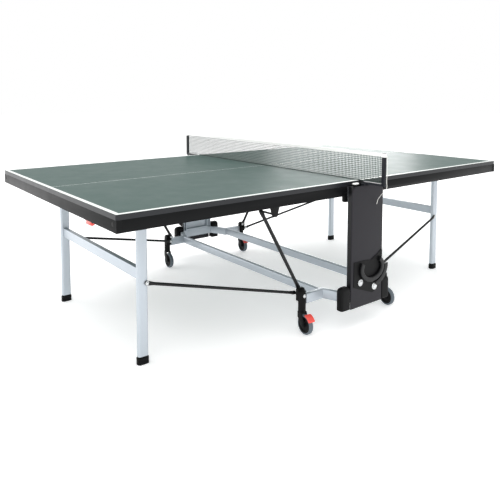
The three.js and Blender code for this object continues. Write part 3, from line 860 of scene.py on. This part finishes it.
@dataclass
class PlayingBoard:
    """One half's board: a green panel with white lines and a charcoal edge."""

    end: End
    corner: float = 0.008
    edge_line: float = 0.020
    centre_line: float = 0.003
    print_height: float = 0.0001
    edge_seal: float = 0.0012

    def build(self) -> None:
        """Builds the panel, its edge and its lines."""
        word, body = self.end.word, f"{self.end.word}_half"
        low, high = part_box(f"{word}_board")
        seal = self.edge_seal
        top = high[2] - self.print_height
        inner_low, inner_high = (low[0] + seal, low[1] + seal), (high[0] - seal, high[1] - seal)
        inside = rectangle(inner_low, inner_high, self.corner - seal)
        panel = Shape().prism(inside, Plane.XY, low[2] + seal, top)
        panel.piece(f"{word}_panel", TABLE_PAINT, body, [f"{word}_board"])
        outline = rectangle(low[:2], high[:2], self.corner)
        self.rim(outline, inside, low[2], top - seal / 4).piece(f"{word}_board_edge", EDGE_PAINT, body)
        self.lines(top, inner_low, inner_high).piece(f"{word}_lines", LINE_PAINT, body)

    def rim(self, outline: list[Pair], inside: list[Pair], low: float, high: float) -> Shape:
        """Builds the seal round the panel.

        Args:
            outline: Its outer outline.
            inside: Its inner outline.
            low: The height of its underside.
            high: The height of its top.

        Returns:
            The closed band between the two outlines.
        """
        rings = ((outline, low), (outline, high), (inside, high), (inside, low))
        return Shape().loft([[Vector((a, b, z)) for a, b in ring] for ring, z in rings], closed=True)

    def lines(self, top: float, inner_low: Pair, inner_high: Pair) -> Shape:
        """Prints two side lines, an end line and the centre line.

        Args:
            top: The height of the panel's top.
            inner_low: The panel's lowest corner.
            inner_high: Its highest corner.

        Returns:
            The lines.
        """
        shape = Shape()
        x_net, x_end = inner_high[0], inner_low[0]
        if self.end is End.RIGHT:
            x_net, x_end = x_end, x_net
        start = x_end - self.end.value * self.edge_line
        radius = self.corner - self.edge_seal
        surface = (top - self.print_height, top + self.print_height)
        end_line = [(start, inner_low[1], 0), (x_end, inner_low[1], radius), (x_end, inner_high[1], radius)]
        shape.prism(rounded(end_line + [(start, inner_high[1], 0)]), Plane.XY, *surface)
        for edge, sign in ((inner_low[1], 1), (inner_high[1], -1)):
            inside = edge + sign * self.edge_line
            strip = [(x_net, edge, radius), (start, edge, 0), (start, inside, 0), (x_net, inside, 0)]
            shape.prism(rounded(strip), Plane.XY, *surface)
        half = self.centre_line / 2
        shape.prism(rectangle((min(x_net, start), -half), (max(x_net, start), half)), Plane.XY, *surface)
        return shape


@dataclass
class ApronFrame:
    """The painted rails under one board, with their brackets, corner caps and screws.

    The coat is drawn inside the end rail's own size, so that the screw heads end level with it.
    A bracket's sizes are half its length, then its foot and its top from the pivot.
    """

    end: End
    edge: float = 0.0012
    cap: float = 0.0008
    cap_seat: float = 0.0005
    cap_edge: float = 0.0004
    coat: float = 0.0003
    screw: float = 0.009
    screw_head: tuple[Pair, ...] = ((1.0, -0.0006), (1.0, -0.0001), (0.8, 0.0))
    screw_inset: float = 0.032
    screw_rise: float = 0.031
    bracket: Point = (0.0316, -0.0126, 0.0346)
    bracket_ahead: float = 0.003
    bracket_corner: float = 0.0095
    bracket_skin: Pair = (0.0003, 0.0006)

    def build(self) -> None:
        """Builds the rails and what is fixed to them."""
        word, body = self.end.word, f"{self.end.word}_half"
        for rail in ("end_rail", "inner_rail", "leg_rail"):
            node = f"{word}_{rail}"
            steel = Shape().copy(node).soften(self.edge)
            if rail == "end_rail":
                inward = (-self.end.value * self.coat, 0, 0)
                bmesh.ops.translate(steel.mesh, verts=steel.mesh.verts, vec=inward)
            steel.piece(f"{word}_{rail}_steel", APRON_COAT, body, [node])
        for side in Side:
            node = f"{side.word}_{word}_side_rail"
            Shape().copy(node).soften(self.edge).piece(f"{node}_steel", APRON_COAT, body, [node])
            self.rail_screw(side, body)
            self.rail_cap(side, body)
            self.bracket_cover(side, body)

    def rail_screw(self, side: Side, body: str) -> None:
        """Sets a screw in the end rail near a corner.

        Args:
            side: The side of the table that the corner is on.
            body: The body that it moves with.
        """
        low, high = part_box(f"{self.end.word}_end_rail")
        face = low[0] if self.end is End.LEFT else high[0]
        place = (face, side.value * (high[1] - self.screw_inset), low[2] + self.screw_rise)
        profile = [(self.screw * share, height) for share, height in self.screw_head]
        screw = Shape().lathe(profile, place, (self.end.value, 0, 0), 20)
        screw.piece(f"{side.word}_{self.end.word}_rail_screw", NYLON, body)

    def rail_cap(self, side: Side, body: str) -> None:
        """Caps the end rail's open end at a corner.

        Args:
            side: The side of the table that the corner is on.
            body: The body that it moves with.
        """
        low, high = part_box(f"{self.end.word}_end_rail")
        tip, out = side.value * high[1], side.value
        cap = Shape().block(
            (low[0], tip - out * self.cap_seat, low[2]), (high[0], tip + out * self.cap, high[2])
        )
        cap.soften(self.cap_edge, SQUARE).piece(f"{side.word}_{self.end.word}_rail_cap", APRON_COAT, body)

    def bracket_cover(self, side: Side, body: str) -> None:
        """Wraps the fold bracket in a black moulding.

        Args:
            side: The side of the table that the bracket is on.
            body: The body that it moves with.
        """
        name = f"{side.word}_{self.end.word}"
        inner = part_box(f"{self.end.word}_end_rail")[1][1]
        outer = max(abs(corner[1]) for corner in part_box(f"{name}_side_rail"))
        pivot = joint(f"{self.end.word}_fold")["pos_m"]
        half, low, high = self.bracket
        x = pivot[0] - self.end.value * self.bracket_ahead
        outline = rectangle((x - half, pivot[2] + low), (x + half, pivot[2] + high), self.bracket_corner)
        behind, proud = self.bracket_skin
        cover = Shape().prism(outline, Plane.XZ, side.value * (inner - behind), side.value * (outer + proud))
        cover.soften(self.edge, SQUARE).piece(f"{name}_bracket_cover", NYLON, body)


@dataclass
class LegFrame:
    """The two silver legs of one half with their crossbar, hinges and feet.

    Each step of a foot's pad is an inset and the two heights that it runs between.
    """

    end: End
    width: float = 0.027
    gap: float = 0.0003
    corner: float = 0.010
    edge: float = 0.0008
    bar_edge: float = 0.0022
    plug: float = 0.003
    plug_inset: float = 0.001
    rod_eye: float = 0.011
    stud: Pair = (0.0085, 0.0048)
    nut: Pair = (0.0072, 0.0068)
    hinge_bolt: Pair = (0.0046, 0.0075)
    pad_corner: float = 0.0125
    pad_steps: tuple[Point, ...] = ((0.0, 0.0, 0.012), (0.0025, 0.012, 0.015), (0.0, 0.015, 0.030))
    stem_inset: float = 0.003
    seam: float = 0.0002

    def build(self) -> None:
        """Builds the legs, the bar between them and their feet."""
        word, body = self.end.word, f"{self.end.word}_leg_frame"
        node = f"{word}_leg_crossbar"
        tube = Shape().copy(node).soften(self.bar_edge, segments=3)
        tube.piece(f"{word}_crossbar_tube", SILVER_COAT, body, [node])
        for side in Side:
            self.leg(side, body)
            self.foot(side)

    def leg(self, side: Side, body: str) -> None:
        """Builds a leg with its hinge bolts and the bolt that the tie rod turns on.

        Args:
            side: The side of the table that it is on.
            body: The body that it moves with.
        """
        name, out, lip = f"{side.word}_{self.end.word}", side.value, self.plug_inset
        low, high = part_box(f"{name}_leg")
        hub = joint(f"{self.end.word}_leg_fold")["pos_m"]
        depth = (high[0] - low[0]) / 2
        spread = abs(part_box(f"{self.end.word}_leg_crossbar")[0][1])
        inner, outer = out * (spread + self.gap), out * (spread + self.gap + self.width)
        neck = high[2] - self.plug
        tube = Shape().block((hub[0] - depth, inner, low[2]), (hub[0] + depth, outer, neck), self.corner)
        tube.soften(self.edge, SQUARE).piece(f"{name}_leg_tube", SILVER_COAT, body, [f"{name}_leg"])
        cap = Shape().block(
            (hub[0] - depth + lip, inner + out * lip, neck),
            (hub[0] + depth - lip, outer - out * lip, high[2]),
            self.corner - lip,
        )
        cap.soften(lip, SQUARE).piece(f"{name}_leg_plug", NYLON, body)
        rod_low, rod_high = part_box(f"{name}_tie_rod")
        x = rod_high[0] - self.rod_eye if self.end is End.RIGHT else rod_low[0] + self.rod_eye
        z = rod_high[2] - self.rod_eye
        length, radius = self.stud
        stud = Shape().bar((x, outer, z), (x, outer + out * length, z), radius, 16)
        stud.bolt((x, outer + out * self.nut[0], z), (0, out, 0), self.nut[1])
        stud.piece(f"{name}_rod_bolt", ZINC, body)
        pin = Shape()
        proud, radius = self.hinge_bolt
        for face, away in ((inner, -out), (outer, out)):
            pin.bolt((hub[0], face + away * proud, hub[2]), (0, away, 0), radius)
        pin.piece(f"{name}_hinge_bolts", ZINC, f"{self.end.word}_half")

    def foot(self, side: Side) -> None:
        """Builds a levelling foot: a ribbed pad, a collar and its screw.

        Args:
            side: The side of the table that it is on.
        """
        name = f"{side.word}_{self.end.word}"
        low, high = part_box(f"{name}_foot")
        stem = (self.stem_inset, self.pad_steps[-1][2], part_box(f"{name}_leg")[0][2] - self.gap)
        shape = Shape()
        for inset, start, end in (*self.pad_steps, stem):
            shape.block(
                (low[0] + inset, low[1] + inset, start + (self.seam if start else 0.0)),
                (high[0] - inset, high[1] - inset, end),
                self.pad_corner - inset,
            )
        shape.soften(self.edge, SQUARE).piece(f"{name}_foot_pad", NYLON, f"{name}_foot", [f"{name}_foot"])


@dataclass
class Linkage:
    """The struts, tie rods, sliders and lever of one half.

    A bar's sizes are its radius, the radius of its flat ends and how far it lies outside its upper end.
    """

    end: End
    flat: float = 0.034
    plate: float = 0.005
    overlap: float = 0.006
    sides: int = 24
    strut: Point = (0.009, 0.012, 0.0)
    rod: Point = (0.0075, 0.011, 0.005)
    foot_bolt: float = 0.0065
    slider_edge: float = 0.0008
    lever_edge: float = 0.0014
    lever_pin: Pair = (0.009, 0.0049)
    squareness: float = 0.45

    def build(self) -> None:
        """Builds both sides' links, the slider blocks and the lever."""
        word = self.end.word
        for side in Side:
            name = f"{side.word}_{word}"
            if f"{name}_strut" in frame["nodes"]:
                self.link(f"{name}_strut", f"{word}_struts", side, *self.strut)
            self.link(f"{name}_tie_rod", f"{word}_tie_rods", side, *self.rod)
            node = f"{name}_slider"
            block = Shape().copy(node).soften(self.slider_edge)
            block.piece(f"{node}_block", BLACK_ENAMEL, f"{word}_slides", [node])
        self.lever()

    def link(self, node: str, body: str, side: Side, radius: float, eye: float, lean: float) -> None:
        """Builds a round bar whose ends are pressed flat and rounded round their pivots.

        Args:
            node: The frame node that it stands for.
            body: The body that it moves with.
            side: The side of the table that it is on.
            radius: The bar's radius.
            eye: The radius of its flat ends.
            lean: How far the bar lies outside its upper end.
        """
        low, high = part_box(node)
        inner, outer = sorted((abs(low[1]), abs(high[1])))
        foot_x, head_x = low[0] + eye, high[0] - eye
        if self.end is End.LEFT:
            foot_x, head_x = head_x, foot_x
        foot = Vector((foot_x, side.value * (outer - radius), low[2] + eye))
        level = inner + self.plate / 2 if lean else outer - radius
        head = Vector((head_x, side.value * level, high[2] - eye))
        along = Vector((head.x - foot.x, 0, head.z - foot.z)).normalized()
        start = foot + along * self.flat
        end = head - along * self.flat + Vector((0, side.value * lean, 0))
        lap = along * self.overlap
        shape = Shape().bar(tuple(start - lap), tuple(end + lap), radius, self.sides)
        for pivot, tip, way in ((foot, start, along), (head, end, -along)):
            self.pressed_end(shape, pivot, tip, way, radius, eye)
        shape.piece(f"{node}_bar", BLACK_ENAMEL, body, [node])
        inside = foot - Vector((0, side.value * self.plate / 2, 0))
        bolt = Shape().bolt(tuple(inside), (0, -side.value, 0), self.foot_bolt)
        bolt.piece(f"{node}_foot_bolt", ZINC, body)

    def pressed_end(
        self, shape: Shape, pivot: Vector, tip: Vector, along: Vector, radius: float, eye: float
    ) -> None:
        """Lofts from a round bar to a flat eye round its pivot.

        Args:
            shape: The shape to add it to.
            pivot: The middle of the eye.
            tip: The end of the bar.
            along: The way from the eye to the bar.
            radius: The bar's radius.
            eye: The eye's radius.
        """
        up = Vector((-along.z, 0, along.x))
        flat = self.plate / 2
        rings = []
        for share in (0.0, 0.25, 0.5, 0.75, 1.0):
            ease = share * share * (3 - 2 * share)
            tall, thick = (radius + (last - radius) * ease for last in (eye, flat))
            rings.append(self.ellipse(tip.lerp(pivot, share), up, tall, thick))
        for turn in (0.5, 0.85, 0.97):
            rings.append(self.ellipse(pivot - along * eye * turn, up, eye * math.sqrt(1 - turn * turn), flat))
        shape.loft(rings)

    def ellipse(self, centre: Vector, up: Vector, tall: float, thick: float) -> list[Vector]:
        """Draws a ring, squarer once it is flatter than it is tall.

        Args:
            centre: Its middle.
            up: The way that its height goes.
            tall: Half its height.
            thick: Half its thickness, across the table.

        Returns:
            The points of the ring.
        """
        square = 1.0 if thick >= tall else self.squareness
        points = []
        for k in range(self.sides):
            angle = 2 * math.pi * k / self.sides
            cosine, sine = math.cos(angle), math.sin(angle)
            across = math.copysign(abs(sine) ** square, sine) * thick
            points.append(centre + up * cosine * tall + Vector((0, across, 0)))
        return points

    def lever(self) -> None:
        """Builds the red lever on its black pin."""
        node = f"{self.end.word}_release_lever"
        body = f"{self.end.word}_lever"
        low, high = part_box(node)
        x, _, z = joint(f"{self.end.word}_lever_pull")["pos_m"]
        Shape().copy(node).soften(self.lever_edge).piece(f"{node}_grip", RED_ABS, body, [node])
        ends = Shape()
        length, radius = self.lever_pin
        for edge, out in ((low[1], 1), (high[1], -1)):
            ends.bar((x, edge, z), (x, edge + out * length, z), radius, 16)
        ends.piece(f"{self.end.word}_lever_pin_ends", BLACK_ENAMEL, body)


# ---- Chassis -----------------------------------------------------------------------------------


@dataclass
class ChassisFrame:
    """The long tubes, the stepped beams and the guide channels."""

    corner: float = 0.0085
    edge: float = 0.003

    def build(self) -> None:
        """Builds the tubes and the two sides."""
        for end in End:
            node = f"{end.word}_long_tube"
            low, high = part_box(node)
            outline = rectangle((low[0], low[2]), (high[0], high[2]), self.corner)
            tube = Shape().prism(outline, Plane.XZ, low[1], high[1])
            tube.piece(f"{end.word}_cross_tube", SILVER_COAT, "chassis", [node])
        for side in Side:
            node = f"{side.word}_chassis_side"
            beam = Shape().copy(node).soften(self.edge, segments=3)
            beam.piece(f"{side.word}_beam_and_channels", SILVER_COAT, "chassis", [node])


@dataclass
class TowerCover:
    """The dark cover over one tower, with its yoke, backing plate, bolts and guide boxes.

    Places on the cover are X from its middle, depth in front of its back and Z. A radius comes last.
    A yoke band is its radii, half its width and its depth, and the angles it runs between in degrees.
    """

    side: Side
    corner: float = 0.003
    shoulder: float = 0.034
    pillow: tuple[Pair, ...] = ((0.0, 0.0), (0.0, 0.0012), (0.0009, 0.0028), (0.003, 0.0037), (0.006, 0.004))
    gap: float = 0.0001
    flange_foot: float = 0.202
    flange: float = 0.0038
    lid: Pair = (0.031, 0.0014)
    liner: Point = (0.004, 0.05, 0.00015)
    drop: float = 0.0004
    stop_foot: tuple[Point, Point] = ((-0.092, -0.020, -0.0002), (-0.066, -0.006, 0.010))
    stop: tuple[Point, Point] = ((-0.096, -0.022, 0.010), (-0.062, -0.004, 0.0155))
    stop_edge: float = 0.001
    plate: tuple[Point, ...] = (
        (-0.103, 0.222, 0.006),
        (-0.058, 0.205, 0.014),
        (0.045, 0.168, 0.014),
        (0.085, 0.184, 0.014),
        (0.119, 0.225, 0.008),
        (0.119, 0.392, 0.004),
        (0.078, 0.368, 0.02),
        (0.03, 0.346, 0.02),
        (-0.035, 0.352, 0.01),
        (-0.103, 0.352, 0.004),
    )
    plate_depths: Pair = (0.0041, 0.0065)
    plate_edge: float = 0.0007
    yoke_centre: Pair = (0.030, 0.305)
    yoke_bands: tuple[tuple[Pair, Pair, Pair], ...] = (
        ((0.082, 0.060), (0.012, 0.014), (150, 402)),
        ((0.116, 0.096), (0.013, 0.010), (285, 362)),
    )
    yoke_seat: float = 0.0067
    yoke_steps: int = 32
    yoke_round: float = 0.6
    bolts: tuple[Point, ...] = ((-0.053, 0.2394, 0.0125), (0.059, 0.2007, 0.0145))
    bolt_seat: float = 0.0066
    guide: tuple[Pair, ...] = (
        (0.002, 0.114),
        (0.0, 0.116),
        (0.0, 0.212),
        (0.0015, 0.220),
        (0.005, 0.227),
        (0.012, 0.2325),
    )
    guide_x: Pair = (0.1262, 0.187)
    guide_y: Pair = (0.7775, 0.8195)
    guide_corners: Pair = (0.003, 0.012)

    @cached_property
    def back(self) -> float:
        """The plate's back, across the table."""
        low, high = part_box(f"{self.side.word}_tower_cover")
        return (low[1] if self.side is Side.NEAR else high[1]) - self.side.value * self.pillow[-1][1]

    def build(self) -> None:
        """Builds the cover and what is fixed to its face."""
        low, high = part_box(f"{self.side.word}_tower_cover")
        self.shell(low, high)
        self.wrap(low, high)
        self.yoke()
        for end in End:
            self.guide_box(end)

    def at(self, x: float, depth: float, z: float) -> Point:
        """Places a point on the cover, X turned for the far side.

        Args:
            x: How far it is from the cover's middle.
            depth: How far it is in front of the cover's back.
            z: Its height.

        Returns:
            The point.
        """
        return -self.side.value * x, self.back + self.side.value * depth, z

    def shell(self, low: Vector, high: Vector) -> None:
        """Builds the cover's pillow-edged plate.

        Args:
            low: The cover's lowest corner.
            high: Its highest corner.
        """
        half = (high[0] - low[0]) / 2
        rings = []
        for inset, depth in self.pillow:
            outline = [
                (-half + inset, low[2] + inset, self.corner),
                (half - inset, low[2] + inset, self.corner),
                (half - inset, high[2] - inset, self.shoulder),
                (-half + inset, high[2] - inset, self.shoulder),
            ]
            y = self.back + self.side.value * depth
            rings.append([Vector((x, y, z)) for x, z in rounded(outline, 10)])
        name = self.side.word
        Shape().loft(rings).piece(f"{name}_cover_plate", COVER_COAT, "chassis", [f"{name}_tower_cover"])

    def wrap(self, low: Vector, high: Vector) -> None:
        """Builds the black flanges and caps that hide the channels, and the white stop on top.

        Args:
            low: The cover's lowest corner.
            high: Its highest corner.
        """
        word, sign = self.side.word, self.side.value
        inner = sign * min(abs(low[1]), abs(high[1]))
        behind = self.back - sign * self.gap
        top = high[2] - self.drop
        start, end, skin = self.liner
        lid, thick = self.lid
        wrap = Shape()
        for edge, out in ((low[0], 1), (high[0], -1)):
            wrap.block((edge, inner, self.flange_foot), (edge + out * self.flange, behind, top))
            wrap.block((edge, inner, top - thick), (edge + out * lid, behind, top))
            wrap.block((edge + out * start, behind - sign * skin, top - end), (edge + out * end, behind, top))
        wrap.piece(f"{word}_cover_flanges", BLACK_ENAMEL, "chassis")
        foot, stop = (
            Shape().block(*[self.at(x, depth, top + z) for x, depth, z in ends], self.corner)
            for ends in (self.stop_foot, self.stop)
        )
        foot.piece(f"{word}_stop_foot", NYLON, "chassis")
        stop.soften(self.stop_edge, SQUARE).piece(f"{word}_tower_stop", WHITE_ABS, "chassis")

    def yoke(self) -> None:
        """Builds the black yoke: two curved bands, the plate behind them and two bright bolts."""
        word = self.side.word
        outline = rounded(self.plate)
        plate = Shape().loft([[Vector(self.at(x, d, z)) for x, z in outline] for d in self.plate_depths])
        plate.soften(self.plate_edge, SQUARE).piece(f"{word}_yoke_plate", NYLON, "chassis")
        bands = Shape()
        for radii, section, sweep in self.yoke_bands:
            bands.loft(self.band(radii, section, sweep))
        bands.piece(f"{word}_yoke", BLACK_ENAMEL, "chassis")
        bolts = Shape()
        for x, z, radius in self.bolts:
            bolts.bolt(self.at(x, self.bolt_seat, z), (0, self.side.value, 0), radius)
        bolts.piece(f"{word}_yoke_bolts", ZINC, "chassis")

    def band(self, radii: Pair, section: Pair, sweep: Pair) -> list[list[Vector]]:
        """Bends a band round the yoke's centre.

        Args:
            radii: The middle line's radius across the cover and up it.
            section: Half the band's width, and how far it stands out.
            sweep: The angles it runs between, in degrees.

        Returns:
            The rings, from one end to the other.
        """
        half, depth = section
        edge = min(half, depth / 2) * self.yoke_round
        rings = []
        for k in range(self.yoke_steps + 1):
            angle = math.radians(sweep[0] + (sweep[1] - sweep[0]) * k / self.yoke_steps)
            cosine, sine = math.cos(angle), math.sin(angle)
            place = Vector((self.yoke_centre[0] + radii[0] * cosine, self.yoke_centre[1] + radii[1] * sine))
            out = Vector((radii[1] * cosine, radii[0] * sine)).normalized()
            ring = []
            for a, b in rectangle((-half, 0.0), (half, depth), edge, 4):
                ring.append(Vector(self.at(place.x + out.x * a, self.yoke_seat + b, place.y + out.y * a)))
            rings.append(ring)
        return rings

    def guide_box(self, end: End) -> None:
        """Builds the domed black box round the beam, where it leaves the tower.

        Args:
            end: The end of the table that it faces.
        """
        sharp, blunt = self.guide_corners
        rings = []
        for inset, z in self.guide:
            inner, outer = self.guide_x[0] + inset, self.guide_x[1] - inset
            y0, y1 = self.side.value * (self.guide_y[0] + inset), self.side.value * (self.guide_y[1] - inset)
            rows = [(inner, y0, sharp), (inner, y1, sharp), (outer, y1, blunt), (outer, y0, blunt)]
            outline = rounded([(end.value * x, y, radius) for x, y, radius in rows])
            rings.append([Vector((x, y, z)) for x, y in outline])
        Shape().loft(rings).piece(f"{self.side.word}_{end.word}_guide_box", NYLON, "chassis")


@dataclass
class Caster:
    """One caster: a domed bracket, a fork, a hub with its tyre and, where there is one, a brake.

    The tyre's profile is measured from the tread, the hub's boss from its axis and the hub's dish inward
    from the tyre, each with the depth below the wheel's face.
    """

    side: Side
    end: End
    tyre: tuple[Pair, ...] = ((0.009, 0.001), (0.005, 0.0), (0.0015, 0.0025), (0.0, 0.006))
    boss: tuple[Pair, ...] = ((0.0044, 0.0005), (0.010, 0.0005), (0.0115, 0.004))
    dish: tuple[Pair, ...] = ((0.009, 0.005), (0.006, 0.0008), (0.0002, 0.0006))
    half_width: float = 0.012
    sides: int = 72
    bracket_edge: float = 0.0015
    fork_edge: float = 0.0012
    bracket_bolt: Point = (0.0195, 0.034, 0.0068)
    pedal_sweep: Pair = (28.0, 76.0)
    pedal_steps: int = 12
    pedal_half: float = 0.0203
    pedal_rise: Pair = (0.0036, 0.0094)
    pedal_corner: float = 0.0018
    pedal_taper: float = 0.0025
    arm_place: float = 0.0180
    arm_eye: float = 0.009
    arm_reach: Pair = (0.006, 0.004)
    arm_radius: float = 0.0011

    @property
    def name(self) -> str:
        """The start of the names of the caster's nodes."""
        return f"{self.side.word}_{self.end.word}"

    def build(self) -> None:
        """Builds the caster's pieces."""
        self.bracket()
        self.fork()
        self.wheel()
        node = f"{self.name}_brake_tab"
        if node in frame["nodes"]:
            self.brake(node)

    def brake(self, node: str) -> None:
        """Builds the red pedal that follows the tyre and the two black arms that carry it.

        Args:
            node: The frame node that the pedal stands for.
        """
        body = f"{self.name}_brake"
        press = joint(f"{body}_press")
        hub, axle = Vector(press["pos_m"]), Vector(press["axis"]).normalized()
        up = Vector((0, 0, 1))
        trail = axle.cross(up).normalized()
        stem = Vector(joint(f"{self.name}_swivel")["pos_m"])
        if (hub - stem).dot(trail) < 0:
            trail = -trail
        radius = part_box(f"{self.name}_caster_wheel")[1][2] / 2
        start, end = self.pedal_sweep
        low, high = self.pedal_rise
        rings = []
        for k in range(self.pedal_steps + 1):
            angle = math.radians(start + (end - start) * k / self.pedal_steps)
            out = trail * math.cos(angle) + up * math.sin(angle)
            taper = self.pedal_taper if k in (0, self.pedal_steps) else 0.0
            half = self.pedal_half - taper
            section = rectangle((-half, low + taper / 2), (half, high - taper / 2), self.pedal_corner, 4)
            rings.append([hub + axle * a + out * (radius + b) for a, b in section])
        Shape().loft(rings).piece(f"{self.name}_brake_pedal", RED_ABS, body, [node])
        arms = Shape()
        angle = math.radians((start + end) / 2)
        out = trail * math.cos(angle) + up * math.sin(angle)
        first, last = self.arm_reach
        for face in (-axle, axle):
            inside = hub + face * self.arm_place
            eye = [(self.arm_eye, 0), (self.arm_eye, 2 * self.arm_radius)]
            arms.lathe(eye, tuple(inside), tuple(face), 24)
            near = inside + face * self.arm_radius
            arms.bar(tuple(near + out * first), tuple(near + out * (radius + last)), self.arm_radius, 8)
        arms.piece(f"{self.name}_brake_arms", NYLON, body)

    def bracket(self) -> None:
        """Builds the bracket with a bolt through its head."""
        node = f"{self.name}_caster_bracket"
        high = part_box(node)[1]
        stem = joint(f"{self.name}_swivel")["pos_m"]
        steel = Shape().copy(node).soften(self.bracket_edge)
        steel.piece(f"{self.name}_bracket", NYLON, "chassis", [node])
        out, drop, radius = self.bracket_bolt
        place = (stem[0], stem[1] + self.side.value * out, high[2] - drop)
        head = Shape().bolt(place, (0, self.side.value, 0), radius)
        head.piece(f"{self.name}_bracket_bolt", ZINC, "chassis")

    def fork(self) -> None:
        """Builds the fork that swivels under the bracket."""
        node = f"{self.name}_caster_fork"
        fork = Shape().copy(node).soften(self.fork_edge)
        fork.piece(f"{self.name}_fork_body", NYLON, f"{self.name}_fork", [node])

    def wheel(self) -> None:
        """Builds the hub with its dished face and the tyre round it."""
        node = f"{self.name}_caster_wheel"
        body = f"{self.name}_wheel"
        low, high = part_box(node)
        centre = tuple(middle(node))
        axis = tuple(joint(f"{self.name}_wheel_spin")["axis"])
        radius = (high[2] - low[2]) / 2
        inner = radius - self.tyre[0][0]
        tyre = [(radius - inward, depth) for inward, depth in self.tyre]
        hub = list(self.boss) + [(inner - inward, depth) for inward, depth in self.dish]
        for profile, part, finish, stands_for in ((tyre, "tyre", TREAD, [node]), (hub, "hub", NYLON, [])):
            turned = Shape().lathe(mirrored(profile, self.half_width), centre, axis, self.sides, bored=True)
            turned.piece(f"{self.name}_{part}", finish, body, stands_for)


# ---- The whole table ---------------------------------------------------------------------------


def corners() -> list[list[float]]:
    """Returns the lowest and highest corner of what is shown, as plain numbers."""
    return [[float(value) for value in corner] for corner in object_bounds()]


def main() -> None:
    """Builds the studio, the cord and every sub-assembly."""
    logging.basicConfig(level=logging.INFO, format="%(message)s")
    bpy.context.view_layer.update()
    builders: list[Callable[[], None]] = [Studio().build, TensionCord().build, NetSet().build]
    for end in End:
        builders += [part(end).build for part in (PlayingBoard, ApronFrame, LegFrame, Linkage)]
    builders.append(ChassisFrame().build)
    for side in Side:
        builders.append(TowerCover(side).build)
        builders += [Caster(side, end).build for end in End]
    for build in builders:
        build()


if __name__ == "__main__":
    main()
